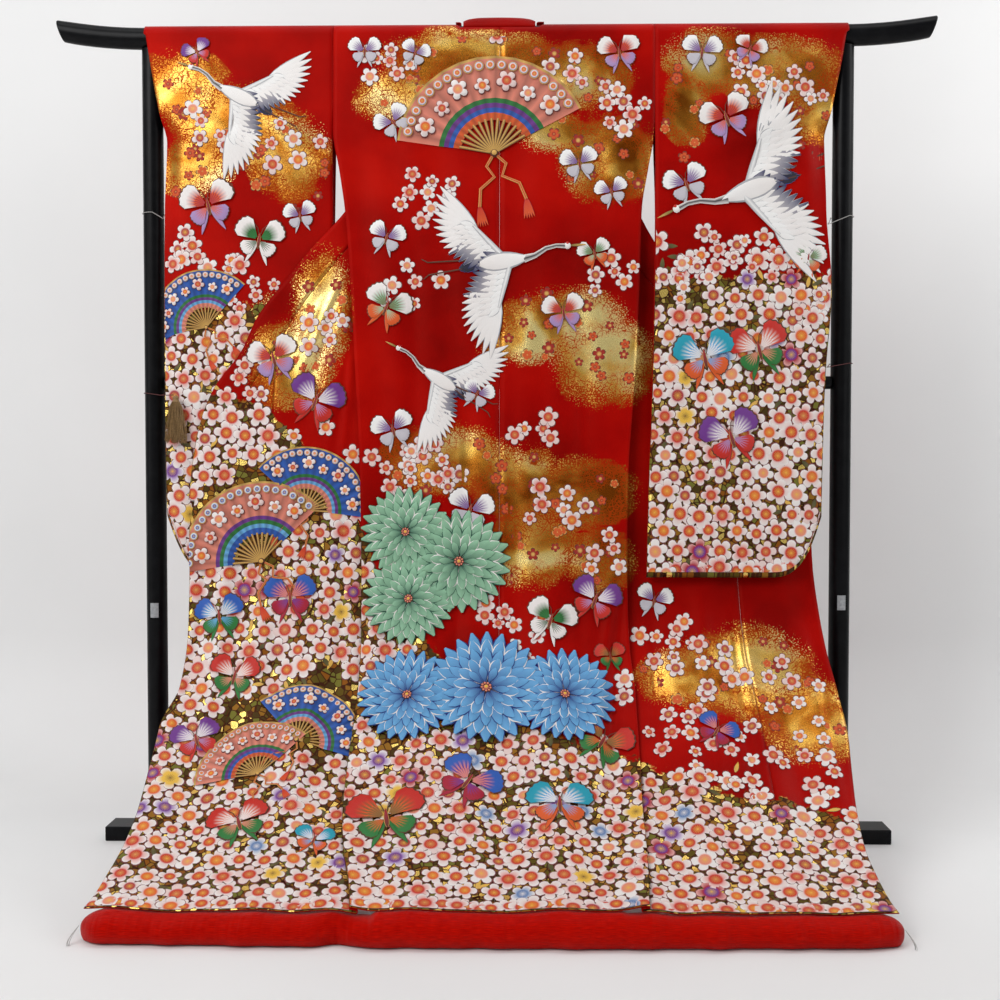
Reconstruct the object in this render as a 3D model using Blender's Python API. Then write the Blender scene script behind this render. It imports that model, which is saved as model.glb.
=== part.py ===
"""Uchikake wedding kimono hung, back outwards, over a black lacquered kimono stand.

Metres, +Z up. X runs along the stand's top bar, the outer back of the garment faces -Y,
and the origin is the middle of the base beam's underside on the floor.
The garment hangs over the top bar inside its sleeves. Its fronts are turned outwards,
so that back, fronts and okumi make one wide curtain that sweeps forward to a padded hem.
"""
import math
from collections import namedtuple

import bmesh
import bpy
import numpy as np

# Cloth and seams
CLOTH = 0.0022
COLLAR_CLOTH = 0.0030
SEAM = 0.0003
LAYER = CLOTH + 0.0012

# Stand
POST_X_LEFT = -0.6645
POST_X_RIGHT = 0.6516
POST_RADIUS = 0.0195
BAR_DEPTH = 0.036
BAR_HEIGHT = 0.0406
BAR_Z = 1.5385
BAR_END_LEFT = -0.841
BAR_END_RIGHT = 0.821
BAR_LIFT = 0.0155
BAR_LIFT_LENGTH = 0.17
RAIL_Z = 0.882
RAIL_RADIUS = 0.0125
BEAM_LEFT = -0.7605
BEAM_RIGHT = 0.748
BEAM_DEPTH = 0.063
BEAM_HEIGHT = 0.028
FOOT_X = 0.52
FOOT_WIDTH = 0.040
FOOT_LENGTH = 0.36
PLATE_Z_LEFT = 0.445
PLATE_Z_RIGHT = 0.462
PLATE_WIDTH = 0.015
PLATE_HEIGHT = 0.028
PLATE_THICK = 0.0012

# Cloth over the bar, measured at the middle of its wall
ARCH_DEPTH = BAR_DEPTH / 2 + 0.0032
ARCH_HEIGHT = BAR_HEIGHT / 2 + SEAM + CLOTH / 2
NECK = 0.075
NECK_SLOPE = 0.014
NECK_ANGLE = math.radians(54)
ARCH_TURNS = 5

# Hem roll
HEM_Y = -0.545
FUKI_FRONT = 0.040
FUKI_BACK = 0.034
FUKI_LEFT = -0.636
FUKI_RIGHT = 0.624
FUKI_TAPER = 0.045
HEM_BOW = 0.010

# Sleeves
CUFF_Z = 1.337
SLEEVE_BOTTOM = 0.516
SLEEVE_CORNER = 0.112
SLEEVE_SEAM_DEPTH = 0.0023

# One row for each level of the curtain, from the bar down to the hem.
# z, y: place of the back's wall. side: side seam. front: outer edge of the front panel.
# okumi and collar: outer edges of the okumi and of the collar, as distances from the middle.
# gap_r: how far the turned right front lies behind its tuck, to leave room for the sleeve.
Level = namedtuple("Level", "z y side_l front_l okumi_l collar_l side_r front_r okumi_r collar_r gap_r")
LEVELS = [
    Level(1.5385, -0.0212, 0.3145, 0.084, None, 0.150, 0.2920, 0.084, None, 0.149, 0.0060),
    Level(1.4900, -0.0235, 0.3145, 0.096, None, 0.164, 0.2920, 0.095, None, 0.163, 0.0060),
    Level(1.4300, -0.0265, 0.3145, 0.117, None, 0.185, 0.2920, 0.112, None, 0.180, 0.0070),
    Level(1.3560, -0.0315, 0.3145, 0.145, None, 0.213, 0.2910, 0.136, None, 0.204, 0.0090),
    Level(1.2800, -0.0375, 0.3020, 0.180, None, 0.248, 0.2790, 0.165, None, 0.233, 0.0130),
    Level(1.2060, -0.0440, 0.2910, 0.222, None, 0.290, 0.2670, 0.194, None, 0.262, 0.0180),
    Level(1.1300, -0.0490, 0.2840, 0.290, None, 0.358, 0.2640, 0.237, None, 0.305, 0.0215),
    Level(1.0600, -0.0530, 0.2795, 0.347, None, 0.415, 0.2620, 0.294, None, 0.362, 0.0225),
    Level(1.0000, -0.0555, 0.2760, 0.391, None, 0.459, 0.2590, 0.342, None, 0.410, 0.0225),
    Level(0.9400, -0.0580, 0.2730, 0.419, 0.427, 0.487, 0.2570, 0.384, 0.392, 0.452, 0.0225),
    Level(0.8700, -0.0605, 0.2690, 0.425, 0.471, 0.539, 0.2520, 0.405, 0.445, 0.505, 0.0225),
    Level(0.8000, -0.0635, 0.2650, 0.428, 0.514, 0.565, 0.2470, 0.420, 0.492, 0.543, 0.0225),
    Level(0.7300, -0.0665, 0.2620, 0.428, 0.552, 0.578, 0.2420, 0.432, 0.535, 0.566, 0.0225),
    Level(0.6600, -0.0700, 0.2600, 0.429, 0.573, 0.585, 0.2400, 0.440, 0.568, 0.580, 0.0235),
    Level(0.6000, -0.0740, 0.2590, 0.430, 0.583, None, 0.2390, 0.444, 0.586, None, 0.0250),
    Level(0.5300, -0.0810, 0.2580, 0.432, 0.581, None, 0.2390, 0.447, 0.590, None, 0.0265),
    Level(0.4600, -0.0940, 0.2570, 0.441, 0.579, None, 0.2390, 0.450, 0.596, None, 0.0200),
    Level(0.3900, -0.1170, 0.2550, 0.453, 0.577, None, 0.2410, 0.453, 0.603, None, 0.0110),
    Level(0.3200, -0.1540, 0.2560, 0.476, 0.581, None, 0.2480, 0.462, 0.614, None, 0.0075),
    Level(0.2550, -0.2060, 0.2590, 0.493, 0.605, None, 0.2490, 0.469, 0.619, None, 0.0060),
    Level(0.1950, -0.2680, 0.2620, 0.490, 0.606, None, 0.2480, 0.471, 0.612, None, 0.0060),
    Level(0.1450, -0.3380, 0.2590, 0.475, 0.605, None, 0.2460, 0.470, 0.604, None, 0.0060),
    Level(0.1020, -0.4100, 0.2480, 0.462, 0.611, None, 0.2450, 0.466, 0.601, None, 0.0060),
    Level(0.0730, -0.4750, 0.2320, 0.453, 0.620, None, 0.2420, 0.463, 0.606, None, 0.0060),
    Level(0.0550, -0.5200, 0.2240, 0.448, 0.627, None, 0.2380, 0.462, 0.612, None, 0.0060),
    Level(0.0480, HEM_Y, 0.2210, 0.447, 0.632, None, 0.2370, 0.462, 0.617, None, 0.0060),
]
OKUMI_TOP = 9
COLLAR_END = 13
COLLAR_SEWN_BELOW = 1.48
COLLAR_TOP_GAP = 0.003

# How far the fronts lie behind the back, from the shoulder down to where the side seam starts
SHOULDER_DROP = [(1.5385, 0.0424), (1.490, 0.0449), (1.430, 0.0477), (1.356, 0.0445), (1.280, 0.0240), (1.206, LAYER)]

# Turned-out width of each front that the tuck behind the side seam takes up
FRONT_WIDTH = [(1.5385, 0.235), (1.130, 0.235), (1.060, 0.220), (0.940, 0.200), (0.870, 0.185), (0.800, 0.150)]
TUCK_LEAST = 0.012
TUCK_GAP_LEFT = 0.006

# Distance of each front behind the back's own surface at its outer edge
LAY_BACK_LEFT = [(0.80, 0.0085), (0.66, 0.0040), (0.53, 0.0030), (0.048, 0.0030)]
LAY_BACK_RIGHT = [(0.53, 0.0290), (0.46, 0.0225), (0.39, 0.0135), (0.32, 0.0090), (0.255, 0.0045), (0.048, 0.0030)]

# Hanging folds of the curtain: depth is away from the viewer, negative for a ridge
Fold = namedtuple("Fold", "x_high x_low z_high z_low width depth at_hem")
FOLDS = [
    Fold(0.258, 0.205, 0.62, 0.16, 0.036, 0.013, 0.2),
    Fold(0.120, 0.100, 1.00, 0.25, 0.050, -0.007, 0.6),
    Fold(0.000, 0.020, 0.80, 0.20, 0.035, 0.005, 0.4),
    Fold(-0.120, -0.130, 1.00, 0.30, 0.045, -0.006, 0.6),
    Fold(-0.200, -0.190, 0.70, 0.20, 0.030, 0.006, 0.4),
    Fold(-0.360, -0.360, 0.60, 0.20, 0.040, -0.010, 0.5),
    Fold(-0.460, -0.500, 0.60, 0.20, 0.030, 0.008, 0.4),
    Fold(-0.570, -0.590, 0.50, 0.15, 0.030, -0.006, 0.5),
    Fold(0.330, 0.330, 0.45, 0.15, 0.040, -0.010, 0.5),
    Fold(0.500, 0.520, 0.45, 0.15, 0.030, 0.007, 0.4),
    Fold(-0.250, -0.250, 0.20, 0.06, 0.050, -0.010, 1.0),
    Fold(0.235, 0.235, 0.20, 0.06, 0.045, -0.012, 1.0),
]

# Gathers that fan out from the left armhole and soft diagonal ridges on the sleeves
Ridge = namedtuple("Ridge", "x1 z1 x2 z2 width height")
LEFT_FRONT_GATHERS = [
    Ridge(-0.305, 1.15, -0.395, 0.90, 0.014, 0.010),
    Ridge(-0.288, 1.06, -0.345, 0.78, 0.013, 0.009),
    Ridge(-0.335, 1.05, -0.425, 0.84, 0.011, 0.008),
]
SLEEVE_RIDGES = {
    "left": [
        Ridge(-0.62, 1.49, -0.34, 1.33, 0.028, 0.007),
        Ridge(-0.60, 1.38, -0.34, 1.25, 0.022, 0.004),
    ],
    "right": [
        Ridge(0.665, 1.51, 0.365, 1.37, 0.030, 0.008),
        Ridge(0.620, 1.40, 0.350, 1.30, 0.024, 0.005),
        Ridge(0.450, 1.15, 0.420, 0.62, 0.035, 0.004),
    ],
}

# Sleeve layers: places of the front and rear walls, and of the inner and outer edges
SleeveRow = namedtuple("SleeveRow", "z front rear inner outer")
SLEEVE_ROWS = {
    "left": [
        SleeveRow(1.5602, -0.0212, 0.0212, 0.3148, 0.675),
        SleeveRow(1.5385, -0.0212, 0.0212, 0.3148, 0.671),
        SleeveRow(1.4900, -0.0235, 0.0214, 0.3148, 0.663),
        SleeveRow(1.4400, -0.0260, 0.0216, 0.3148, 0.654),
        SleeveRow(1.3900, -0.0290, 0.0205, 0.3148, 0.644),
        SleeveRow(CUFF_Z, -0.0310, 0.0140, 0.3148, 0.634),
        SleeveRow(1.2060, -0.0315, -0.0040, 0.3148, 0.637),
        SleeveRow(1.0600, -0.0370, -0.0180, 0.3148, 0.636),
        SleeveRow(0.8800, -0.0425, -0.0255, 0.3148, 0.635),
        SleeveRow(0.7000, -0.0470, -0.0300, 0.3120, 0.633),
        SleeveRow(0.5160, -0.0560, -0.0390, 0.3090, 0.624),
    ],
    "right": [
        SleeveRow(1.5602, -0.0212, 0.0212, 0.2923, 0.657),
        SleeveRow(1.5385, -0.0212, 0.0212, 0.2923, 0.652),
        SleeveRow(1.4900, -0.0235, 0.0214, 0.2923, 0.643),
        SleeveRow(1.4400, -0.0260, 0.0216, 0.2923, 0.633),
        SleeveRow(1.3900, -0.0290, 0.0200, 0.2923, 0.623),
        SleeveRow(CUFF_Z, -0.0335, 0.0080, 0.2923, 0.612),
        SleeveRow(1.2060, -0.0470, -0.0310, 0.2923, 0.611),
        SleeveRow(1.0600, -0.0560, -0.0400, 0.2905, 0.620),
        SleeveRow(0.8800, -0.0620, -0.0460, 0.2865, 0.608),
        SleeveRow(0.7000, -0.0700, -0.0540, 0.2795, 0.602),
        SleeveRow(0.5160, -0.0830, -0.0670, 0.2740, 0.597),
    ],
}
SLEEVE_COLUMNS = [0.0, 0.14, 0.28, 0.42, 0.56, 0.70, 0.82, 0.90, 0.955, 0.985, 1.0]
SLEEVE_UPPER = [1.5385, 1.490, 1.440, 1.390, CUFF_Z]
SLEEVE_LOWER = [0.10, 0.22, 0.35, 0.50, 0.65, 0.78, 0.88, 0.95, 1.0]

# Collar over the bar at the back of the neck, from its left end to its right end:
# seam edge k on the viewer's side, crown m, and free edge c behind the bar
NeckRow = namedtuple("NeckRow", "x ky kz my mz cy cz")
NECK_ROWS = [
    NeckRow(-0.0690, -0.0167, 1.5521, 0.0040, 1.5900, 0.0360, 1.5290),
    NeckRow(-0.0600, -0.0167, 1.5520, 0.0030, 1.5990, 0.0370, 1.5270),
    NeckRow(-0.0350, -0.0167, 1.5520, 0.0030, 1.6060, 0.0380, 1.5250),
    NeckRow(0.0000, -0.0167, 1.5520, 0.0030, 1.6070, 0.0380, 1.5250),
    NeckRow(0.0350, -0.0167, 1.5520, 0.0030, 1.6050, 0.0380, 1.5250),
    NeckRow(0.0580, -0.0167, 1.5520, 0.0030, 1.5980, 0.0370, 1.5270),
    NeckRow(0.0670, -0.0167, 1.5521, 0.0040, 1.5890, 0.0360, 1.5290),
]

# Tassel tied to the left sleeve
TASSEL_X = -0.6095
TASSEL_Y = -0.0585
TASSEL_TOP = 0.8554
TASSEL_LENGTH = 0.092
TASSEL_HEAD_RADIUS = 0.0065
TASSEL_HEAD_HEIGHT = 0.012
TASSEL_SPREAD_X = 0.0175
TASSEL_SPREAD_Y = 0.0075
TASSEL_SIDES = 12
STRAND_NECK = 0.35

# Tie strings round the posts: side, height, drop towards the sleeve, colour,
# and how far the string runs on over the sleeve's front
Tie = namedtuple("Tie", "name side z drop shade over")
TIES = [
    Tie("tie_grey_left", "left", 1.206, 0.012, "grey", 0.0),
    Tie("tie_grey_right", "right", 1.196, 0.020, "grey", 0.0),
    Tie("tie_dark_left", "left", 0.8625, 0.006, "dark", 0.024),
    Tie("tie_dark_right", "right", 0.918, 0.010, "dark", 0.0),
]
TIE_RADIUS = 0.0008

COLOURS = {
    "silk": ((0.55, 0.012, 0.006, 1.0), 0.42, 0.0),
    "hem_silk": ((0.62, 0.010, 0.006, 1.0), 0.38, 0.0),
    "lacquer": ((0.012, 0.012, 0.014, 1.0), 0.22, 0.0),
    "plate": ((0.35, 0.36, 0.37, 1.0), 0.5, 0.0),
    "thread": ((0.34, 0.20, 0.08, 1.0), 0.55, 0.0),
    "grey": ((0.55, 0.54, 0.52, 1.0), 0.7, 0.0),
    "dark": ((0.09, 0.02, 0.02, 1.0), 0.7, 0.0),
}


def clear_scene():
    for item in list(bpy.data.objects):
        bpy.data.objects.remove(item, do_unlink=True)


def finish(kind):
    """The material of one kind, made once for each piece that asks for it."""
    colour, roughness, metallic = COLOURS[kind]
    material = bpy.data.materials.new(kind)
    material.use_nodes = True
    shader = material.node_tree.nodes["Principled BSDF"]
    shader.inputs["Base Color"].default_value = colour
    shader.inputs["Roughness"].default_value = roughness
    shader.inputs["Metallic"].default_value = metallic
    material.diffuse_color = colour
    return material


def place(name, points, faces, kind, outwards=True):
    """A named object from points and faces, with its faces turned outwards."""
    mesh = bpy.data.meshes.new(name)
    mesh.from_pydata([tuple(float(v) for v in p) for p in points], [], faces)
    if outwards:
        work = bmesh.new()
        work.from_mesh(mesh)
        bmesh.ops.recalc_face_normals(work, faces=work.faces)
        work.to_mesh(mesh)
        work.free()
    mesh.materials.append(finish(kind))
    mesh.shade_smooth()
    mesh.set_sharp_from_angle(angle=math.radians(40))
    piece = bpy.data.objects.new(name, mesh)
    bpy.context.scene.collection.objects.link(piece)
    return piece


def smooth_curve(pairs):
    """A cubic through (position, value) pairs that never overshoots them."""
    pairs = sorted(pairs)
    xs = np.array([p[0] for p in pairs])
    ys = np.array([p[1] for p in pairs])
    steps = np.diff(xs)
    slopes = np.diff(ys) / steps
    tangents = np.zeros(len(xs))
    tangents[0] = slopes[0]
    tangents[-1] = slopes[-1]
    for i in range(1, len(xs) - 1):
        if slopes[i - 1] * slopes[i] > 0:
            w1 = 2 * steps[i] + steps[i - 1]
            w2 = steps[i] + 2 * steps[i - 1]
            tangents[i] = (w1 + w2) / (w1 / slopes[i - 1] + w2 / slopes[i])

    def value(x):
        x = min(max(x, xs[0]), xs[-1])
        i = int(min(max(np.searchsorted(xs, x) - 1, 0), len(xs) - 2))
        h = steps[i]
        t = (x - xs[i]) / h
        low = (1 + 2 * t) * (1 - t) ** 2 * ys[i] + t * (1 - t) ** 2 * h * tangents[i]
        high = t * t * (3 - 2 * t) * ys[i + 1] + t * t * (t - 1) * h * tangents[i + 1]
        return low + high

    return value


def ease(t):
    t = min(max(t, 0.0), 1.0)
    return t * t * (3 - 2 * t)


def column(name):
    """A smooth curve of one column of LEVELS over height, where the column has values."""
    return smooth_curve([(row.z, getattr(row, name)) for row in LEVELS if getattr(row, name) is not None])


CURTAIN_Y = column("y")
EDGES = {
    "left": {"side": column("side_l"), "front": column("front_l"), "okumi": column("okumi_l"), "collar": column("collar_l")},
    "right": {"side": column("side_r"), "front": column("front_r"), "okumi": column("okumi_r"), "collar": column("collar_r")},
}
GAP_RIGHT = column("gap_r")
SHOULDER = smooth_curve(SHOULDER_DROP)
WIDTH = smooth_curve(FRONT_WIDTH)
LAY_BACK = {"left": smooth_curve(LAY_BACK_LEFT), "right": smooth_curve(LAY_BACK_RIGHT)}
SIGN = {"left": -1.0, "right": 1.0}


def tuck_gap(side, z):
    return TUCK_GAP_LEFT if side == "left" else GAP_RIGHT(z)


def fold_depth(x, z):
    """How far the hanging folds push the curtain away from the viewer at x and z."""
    depth = 0.0
    for fold in FOLDS:
        strength = ease((fold.z_high - z) / (fold.z_high - fold.z_low))
        middle = fold.x_high + (fold.x_low - fold.x_high) * strength
        to_hem = 1.0 - (1.0 - fold.at_hem) * ease((0.15 - z) / 0.09)
        depth += fold.depth * strength * to_hem * math.exp(-(((x - middle) / fold.width) ** 2))
    return depth


def ridge_height(ridges, x, z):
    """Height of soft ridges that run along straight lines on a panel."""
    height = 0.0
    for ridge in ridges:
        run = np.array([ridge.x2 - ridge.x1, ridge.z2 - ridge.z1])
        to_point = np.array([x - ridge.x1, z - ridge.z1])
        along = min(max(float(run @ to_point / (run @ run)), 0.0), 1.0)
        apart = float(np.linalg.norm(to_point - along * run))
        fade = ease(along / 0.2) * ease((1.0 - along) / 0.25)
        height += ridge.height * fade * math.exp(-((apart / ridge.width) ** 2))
    return height


def curtain(x, z, behind=0.0):
    """A point of the curtain at x and level z, moved behind the back's wall."""
    step = 0.004
    slope = (CURTAIN_Y(z + step) - CURTAIN_Y(z - step)) / (
        min(z + step, LEVELS[0].z) - max(z - step, LEVELS[-1].z)
    )
    tangent = np.array([-slope, -1.0])
    tangent /= np.linalg.norm(tangent)
    rear = np.array([-tangent[1], tangent[0]])
    depth = behind + fold_depth(x, z)
    bow = HEM_BOW * (x / 0.6) ** 2 * ease((0.20 - z) / 0.14)
    return np.array([x, CURTAIN_Y(z) + bow + rear[0] * depth, z + rear[1] * depth])


def over_bar(x, angle, side_of_bar, above=0.0):
    """A point on the cloth over the bar: angle 0 is its top, -1 is the viewer's side."""
    y = (ARCH_DEPTH + above) * math.sin(angle) * side_of_bar
    return np.array([x, y, BAR_Z + (ARCH_HEIGHT + above) * math.cos(angle)])


def grid_normals(grid):
    across = np.gradient(grid, axis=1)
    down = np.gradient(grid, axis=0)
    normals = np.cross(across, down)
    return normals / np.linalg.norm(normals, axis=2, keepdims=True)


def wall(name, grid, thickness, kind, top_normals=()):
    """A closed wall of even thickness on both sides of a grid of points."""
    grid = np.array(grid)
    rows, columns = grid.shape[:2]
    normals = grid_normals(grid)
    for row, normal in enumerate(top_normals):
        for c in range(columns):
            normals[row, c] = np.array(normal[c]) * math.copysign(1.0, float(normals[row, c] @ normal[c]))
    shift = normals * thickness / 2
    points = np.concatenate([(grid + shift).reshape(-1, 3), (grid - shift).reshape(-1, 3)])
    count = rows * columns
    faces = []
    for r in range(rows - 1):
        for c in range(columns - 1):
            a = r * columns + c
            b = a + columns
            for near in ((a, a + 1, b + 1), (a, b + 1, b)):
                faces.append(near)
                faces.append(tuple(i + count for i in reversed(near)))
    border = [c for c in range(columns)]
    border += [r * columns + columns - 1 for r in range(1, rows)]
    border += [(rows - 1) * columns + c for c in range(columns - 2, -1, -1)]
    border += [r * columns for r in range(rows - 2, 0, -1)]
    for i, a in enumerate(border):
        b = border[(i + 1) % len(border)]
        faces.append((b, a, a + count, b + count))
    return place(name, points, faces, kind)


def back_panel(side):
    """Half of the back, from the shoulder fold on the bar down to the hem."""
    sign = SIGN[side]
    grid = []
    normals = []
    for turn in range(ARCH_TURNS + 1):
        row = []
        directions = []
        for x in back_columns(side, LEVELS[0].z):
            start = max(0.5 * SEAM / ARCH_DEPTH, NECK_ANGLE * min(1.0, 1.0 - (x - NECK) / NECK_SLOPE))
            angle = start + (math.pi / 2 - start) * turn / ARCH_TURNS
            row.append(over_bar(sign * x, angle, -1))
            directions.append((0.0, -math.sin(angle), math.cos(angle)))
        grid.append(row)
        normals.append(directions)
    for level in LEVELS[1:]:
        grid.append([curtain(sign * x, level.z) for x in back_columns(side, level.z)])
    wall("back_" + side, grid, CLOTH, "silk", normals)


def back_columns(side, z):
    """Distances from the centre seam of the back panel's columns at one level."""
    edge = EDGES[side]["side"](z)
    inner = [SEAM / 2, 0.04] + [NECK + NECK_SLOPE * share for share in (0.0, 0.25, 0.5, 0.75, 1.0)]
    outer = [inner[-1] + (edge - inner[-1]) * share for share in (0.25, 0.48, 0.68, 0.85, 1.0)]
    return inner + outer


def under_back(side, x, z, behind):
    """A point behind the back panel, parallel to the flat facets between its columns."""
    columns = back_columns(side, z)
    sign = SIGN[side]
    for near, far in zip(columns, columns[1:]):
        if x <= far or far == columns[-1]:
            share = (x - near) / (far - near)
            return curtain(sign * near, z, behind) * (1 - share) + curtain(sign * far, z, behind) * share


def front_row(side, z):
    """Columns of a front panel at one level, as (distance from the middle, distance behind)."""
    edge = EDGES[side]
    seam = edge["side"](z)
    outer = edge["front"](z)
    gap = tuck_gap(side, z)
    radius = gap / 2
    least = max(TUCK_LEAST, radius + 0.003, seam - outer + radius + 0.007)
    tuck = max(least, (seam - outer + WIDTH(z)) / 2)
    fold = seam - tuck
    columns = [(seam, 0.0), (fold + radius + 0.5 * (tuck - radius), 0.0), (fold + radius, 0.0)]
    for turn in (45, 90, 135):
        angle = math.radians(turn)
        columns.append((fold + radius * (1 - math.sin(angle)), radius * (1 - math.cos(angle))))
    columns.append((fold + radius, gap))
    lay_back = LAY_BACK[side](z) - LAYER if z < 0.80 else gap
    start = fold + radius
    bend = min(seam + 0.003, start + 0.5 * (outer - start))
    columns.append((bend, gap))
    for share in (0.25, 0.5, 0.75, 1.0):
        x = bend + (outer - bend) * share
        behind = gap
        if x > seam:
            behind = gap + (lay_back - gap) * ease((x - seam) / max(outer - seam, 0.001))
        columns.append((x, behind))
    return columns


def front_panel(side):
    """A front, turned back behind its side seam and then outwards past it."""
    sign = SIGN[side]
    grid = []
    top = front_row(side, LEVELS[0].z)
    for turn in range(ARCH_TURNS + 1):
        angle = max(0.5 * SEAM / ARCH_DEPTH, math.pi / 2 * turn / ARCH_TURNS)
        grid.append([over_bar(sign * x, angle, 1, behind) for x, behind in top])
    for level in LEVELS[1:]:
        base = SHOULDER(level.z) if level.z > 1.206 else LAYER
        row = []
        for index, (x, behind) in enumerate(front_row(side, level.z)):
            if index <= 7:
                row.append(under_back(side, x, level.z, base + behind))
                continue
            lift = 0.0
            if side == "left":
                to_edge = ease((EDGES[side]["front"](level.z) - x - 0.02) / 0.05)
                lift = to_edge * ridge_height(LEFT_FRONT_GATHERS, sign * x, level.z)
            row.append(curtain(sign * x, level.z, base + behind - lift))
        grid.append(row)
    wall("front_" + side, grid, CLOTH, "silk")


def edge_behind(side, z):
    """How far the outer edge of a front, its okumi and collar lie behind the back."""
    if z > 1.206:
        return SHOULDER(z) + tuck_gap(side, z)
    if z >= 0.80:
        return LAYER + tuck_gap(side, z)
    return LAY_BACK[side](z)


def okumi_panel(side):
    """The narrow overlap panel, from its tip at the collar down to the hem."""
    sign = SIGN[side]
    grid = []
    for level in LEVELS[OKUMI_TOP:]:
        inner = EDGES[side]["front"](level.z) + SEAM
        outer = EDGES[side]["okumi"](level.z)
        behind = edge_behind(side, level.z)
        row = []
        for share in (0.0, 0.33, 0.67, 1.0):
            x = inner + (outer - inner) * share
            row.append(curtain(sign * x, level.z, behind))
        grid.append(row)
    wall("okumi_" + side, grid, CLOTH, "silk")


def collar_neck():
    """The collar at the back of the neck, laid over the bar."""
    grid = []
    for row in NECK_ROWS:
        seam = np.array([row.x, row.ky, row.kz])
        crown = np.array([row.x, row.my, row.mz])
        free = np.array([row.x, row.cy, row.cz])
        grid.append([(1 - t) ** 2 * seam + 2 * t * (1 - t) * crown + t * t * free for t in np.linspace(0, 1, 7)])
    wall("collar_neck", grid, COLLAR_CLOTH, "silk")


def collar_half(side):
    """The collar down one front, from behind the bar to its lower end."""
    sign = SIGN[side]
    grid = []
    for index in range(COLLAR_END + 1):
        level = LEVELS[index]
        name = "front" if index < OKUMI_TOP else "okumi"
        inner = EDGES[side][name](level.z) + (COLLAR_TOP_GAP if level.z > COLLAR_SEWN_BELOW else SEAM)
        outer = EDGES[side]["collar"](level.z)
        behind = edge_behind(side, level.z)
        shares = (0.0, 0.25, 0.5, 0.75, 1.0)
        grid.append([curtain(sign * (inner + (outer - inner) * t), level.z, behind) for t in shares])
    wall("collar_" + side, grid, COLLAR_CLOTH, "silk")


def sleeve_curve(side, name):
    return smooth_curve([(row.z, getattr(row, name)) for row in SLEEVE_ROWS[side]])


def sleeve(side):
    """A hanging sleeve bag: two layers over the bar, open at the cuff and along the inner edge."""
    sign = SIGN[side]
    front = sleeve_curve(side, "front")
    rear = sleeve_curve(side, "rear")
    inner = sleeve_curve(side, "inner")
    outer = sleeve_curve(side, "outer")
    ridges = SLEEVE_RIDGES[side]
    points = []
    loop = 0
    for share in SLEEVE_COLUMNS:
        corner = SLEEVE_CORNER * max(0.0, (share - 0.70) / 0.30) ** 3.2
        bottom = SLEEVE_BOTTOM + corner
        closing = ease((share - 0.88) / 0.12)

        def layer(z, which):
            middle = (front(z) + rear(z)) / 2
            half = (rear(z) - front(z)) / 2
            sewn = closing * ease((CUFF_Z + 0.055 - z) / 0.055)
            half = half + (SLEEVE_SEAM_DEPTH - half) * sewn
            x = inner(z) + (outer(z) - inner(z)) * share
            y = middle + half * which
            if which < 0:
                y -= ridge_height(ridges, sign * x, z) * (1 - sewn)
            return np.array([sign * x, y, z])

        half_low = (rear(bottom) - front(bottom)) / 2
        half_low += (SLEEVE_SEAM_DEPTH - half_low) * closing
        lowest = bottom + half_low
        heights = list(SLEEVE_UPPER)
        heights += [CUFF_Z + (lowest - CUFF_Z) * t for t in SLEEVE_LOWER]
        top_x = inner(BAR_Z + ARCH_HEIGHT) + (outer(BAR_Z + ARCH_HEIGHT) - inner(BAR_Z + ARCH_HEIGHT)) * share
        turns = [math.pi / 2 * turn / ARCH_TURNS for turn in range(ARCH_TURNS)]
        column_points = [over_bar(sign * top_x, angle, -1) for angle in turns]
        column_points += [layer(z, -1) for z in heights]
        under = layer(lowest, 0)
        under[2] = bottom
        column_points.append(under)
        column_points += [layer(z, 1) for z in reversed(heights)]
        column_points += [over_bar(sign * top_x, angle, 1) for angle in reversed(turns[1:])]
        loop = len(column_points)
        points += column_points
    columns = len(SLEEVE_COLUMNS)
    faces = []
    for c in range(columns - 1):
        for i in range(loop):
            j = (i + 1) % loop
            a = c * loop + i
            b = c * loop + j
            faces.append((a, b, b + loop, a + loop))
    last = (columns - 1) * loop
    first_sewn = ARCH_TURNS + len(SLEEVE_UPPER) - 1
    lowest_front = ARCH_TURNS + len(SLEEVE_UPPER) + len(SLEEVE_LOWER) - 1
    for i in range(first_sewn, lowest_front):
        mirror = loop - i
        faces.append((last + i, last + i + 1, last + mirror - 1, last + mirror))
    faces.append((last + lowest_front, last + lowest_front + 1, last + lowest_front + 2))
    piece = place("sleeve_" + side, points, faces, "silk")
    thicken = piece.modifiers.new("wall", "SOLIDIFY")
    thicken.thickness = CLOTH
    thicken.offset = 0.0
    thicken.use_even_offset = True
    thicken.use_rim = True


def hem_underside(x):
    """Height of the lowest cloth above the hem roll at x."""
    z = LEVELS[-1].z
    side = "left" if x < 0 else "right"
    distance = abs(x)
    seam = EDGES[side]["side"](z)
    outer = EDGES[side]["front"](z)
    radius = tuck_gap(side, z) / 2
    tuck = max(TUCK_LEAST, radius + 0.003)
    if distance < seam - tuck - 0.012:
        behind = 0.0
    elif distance < seam + 0.02:
        behind = LAYER + tuck_gap(side, z)
    elif distance < outer:
        share = ease((distance - 0.02 - seam) / (outer - seam))
        behind = LAYER + tuck_gap(side, z) * (1 - share) + 0.0005
    else:
        behind = LAY_BACK[side](z)
    point = curtain(x, z, behind + CLOTH / 2)
    return point[1], point[2]


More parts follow.
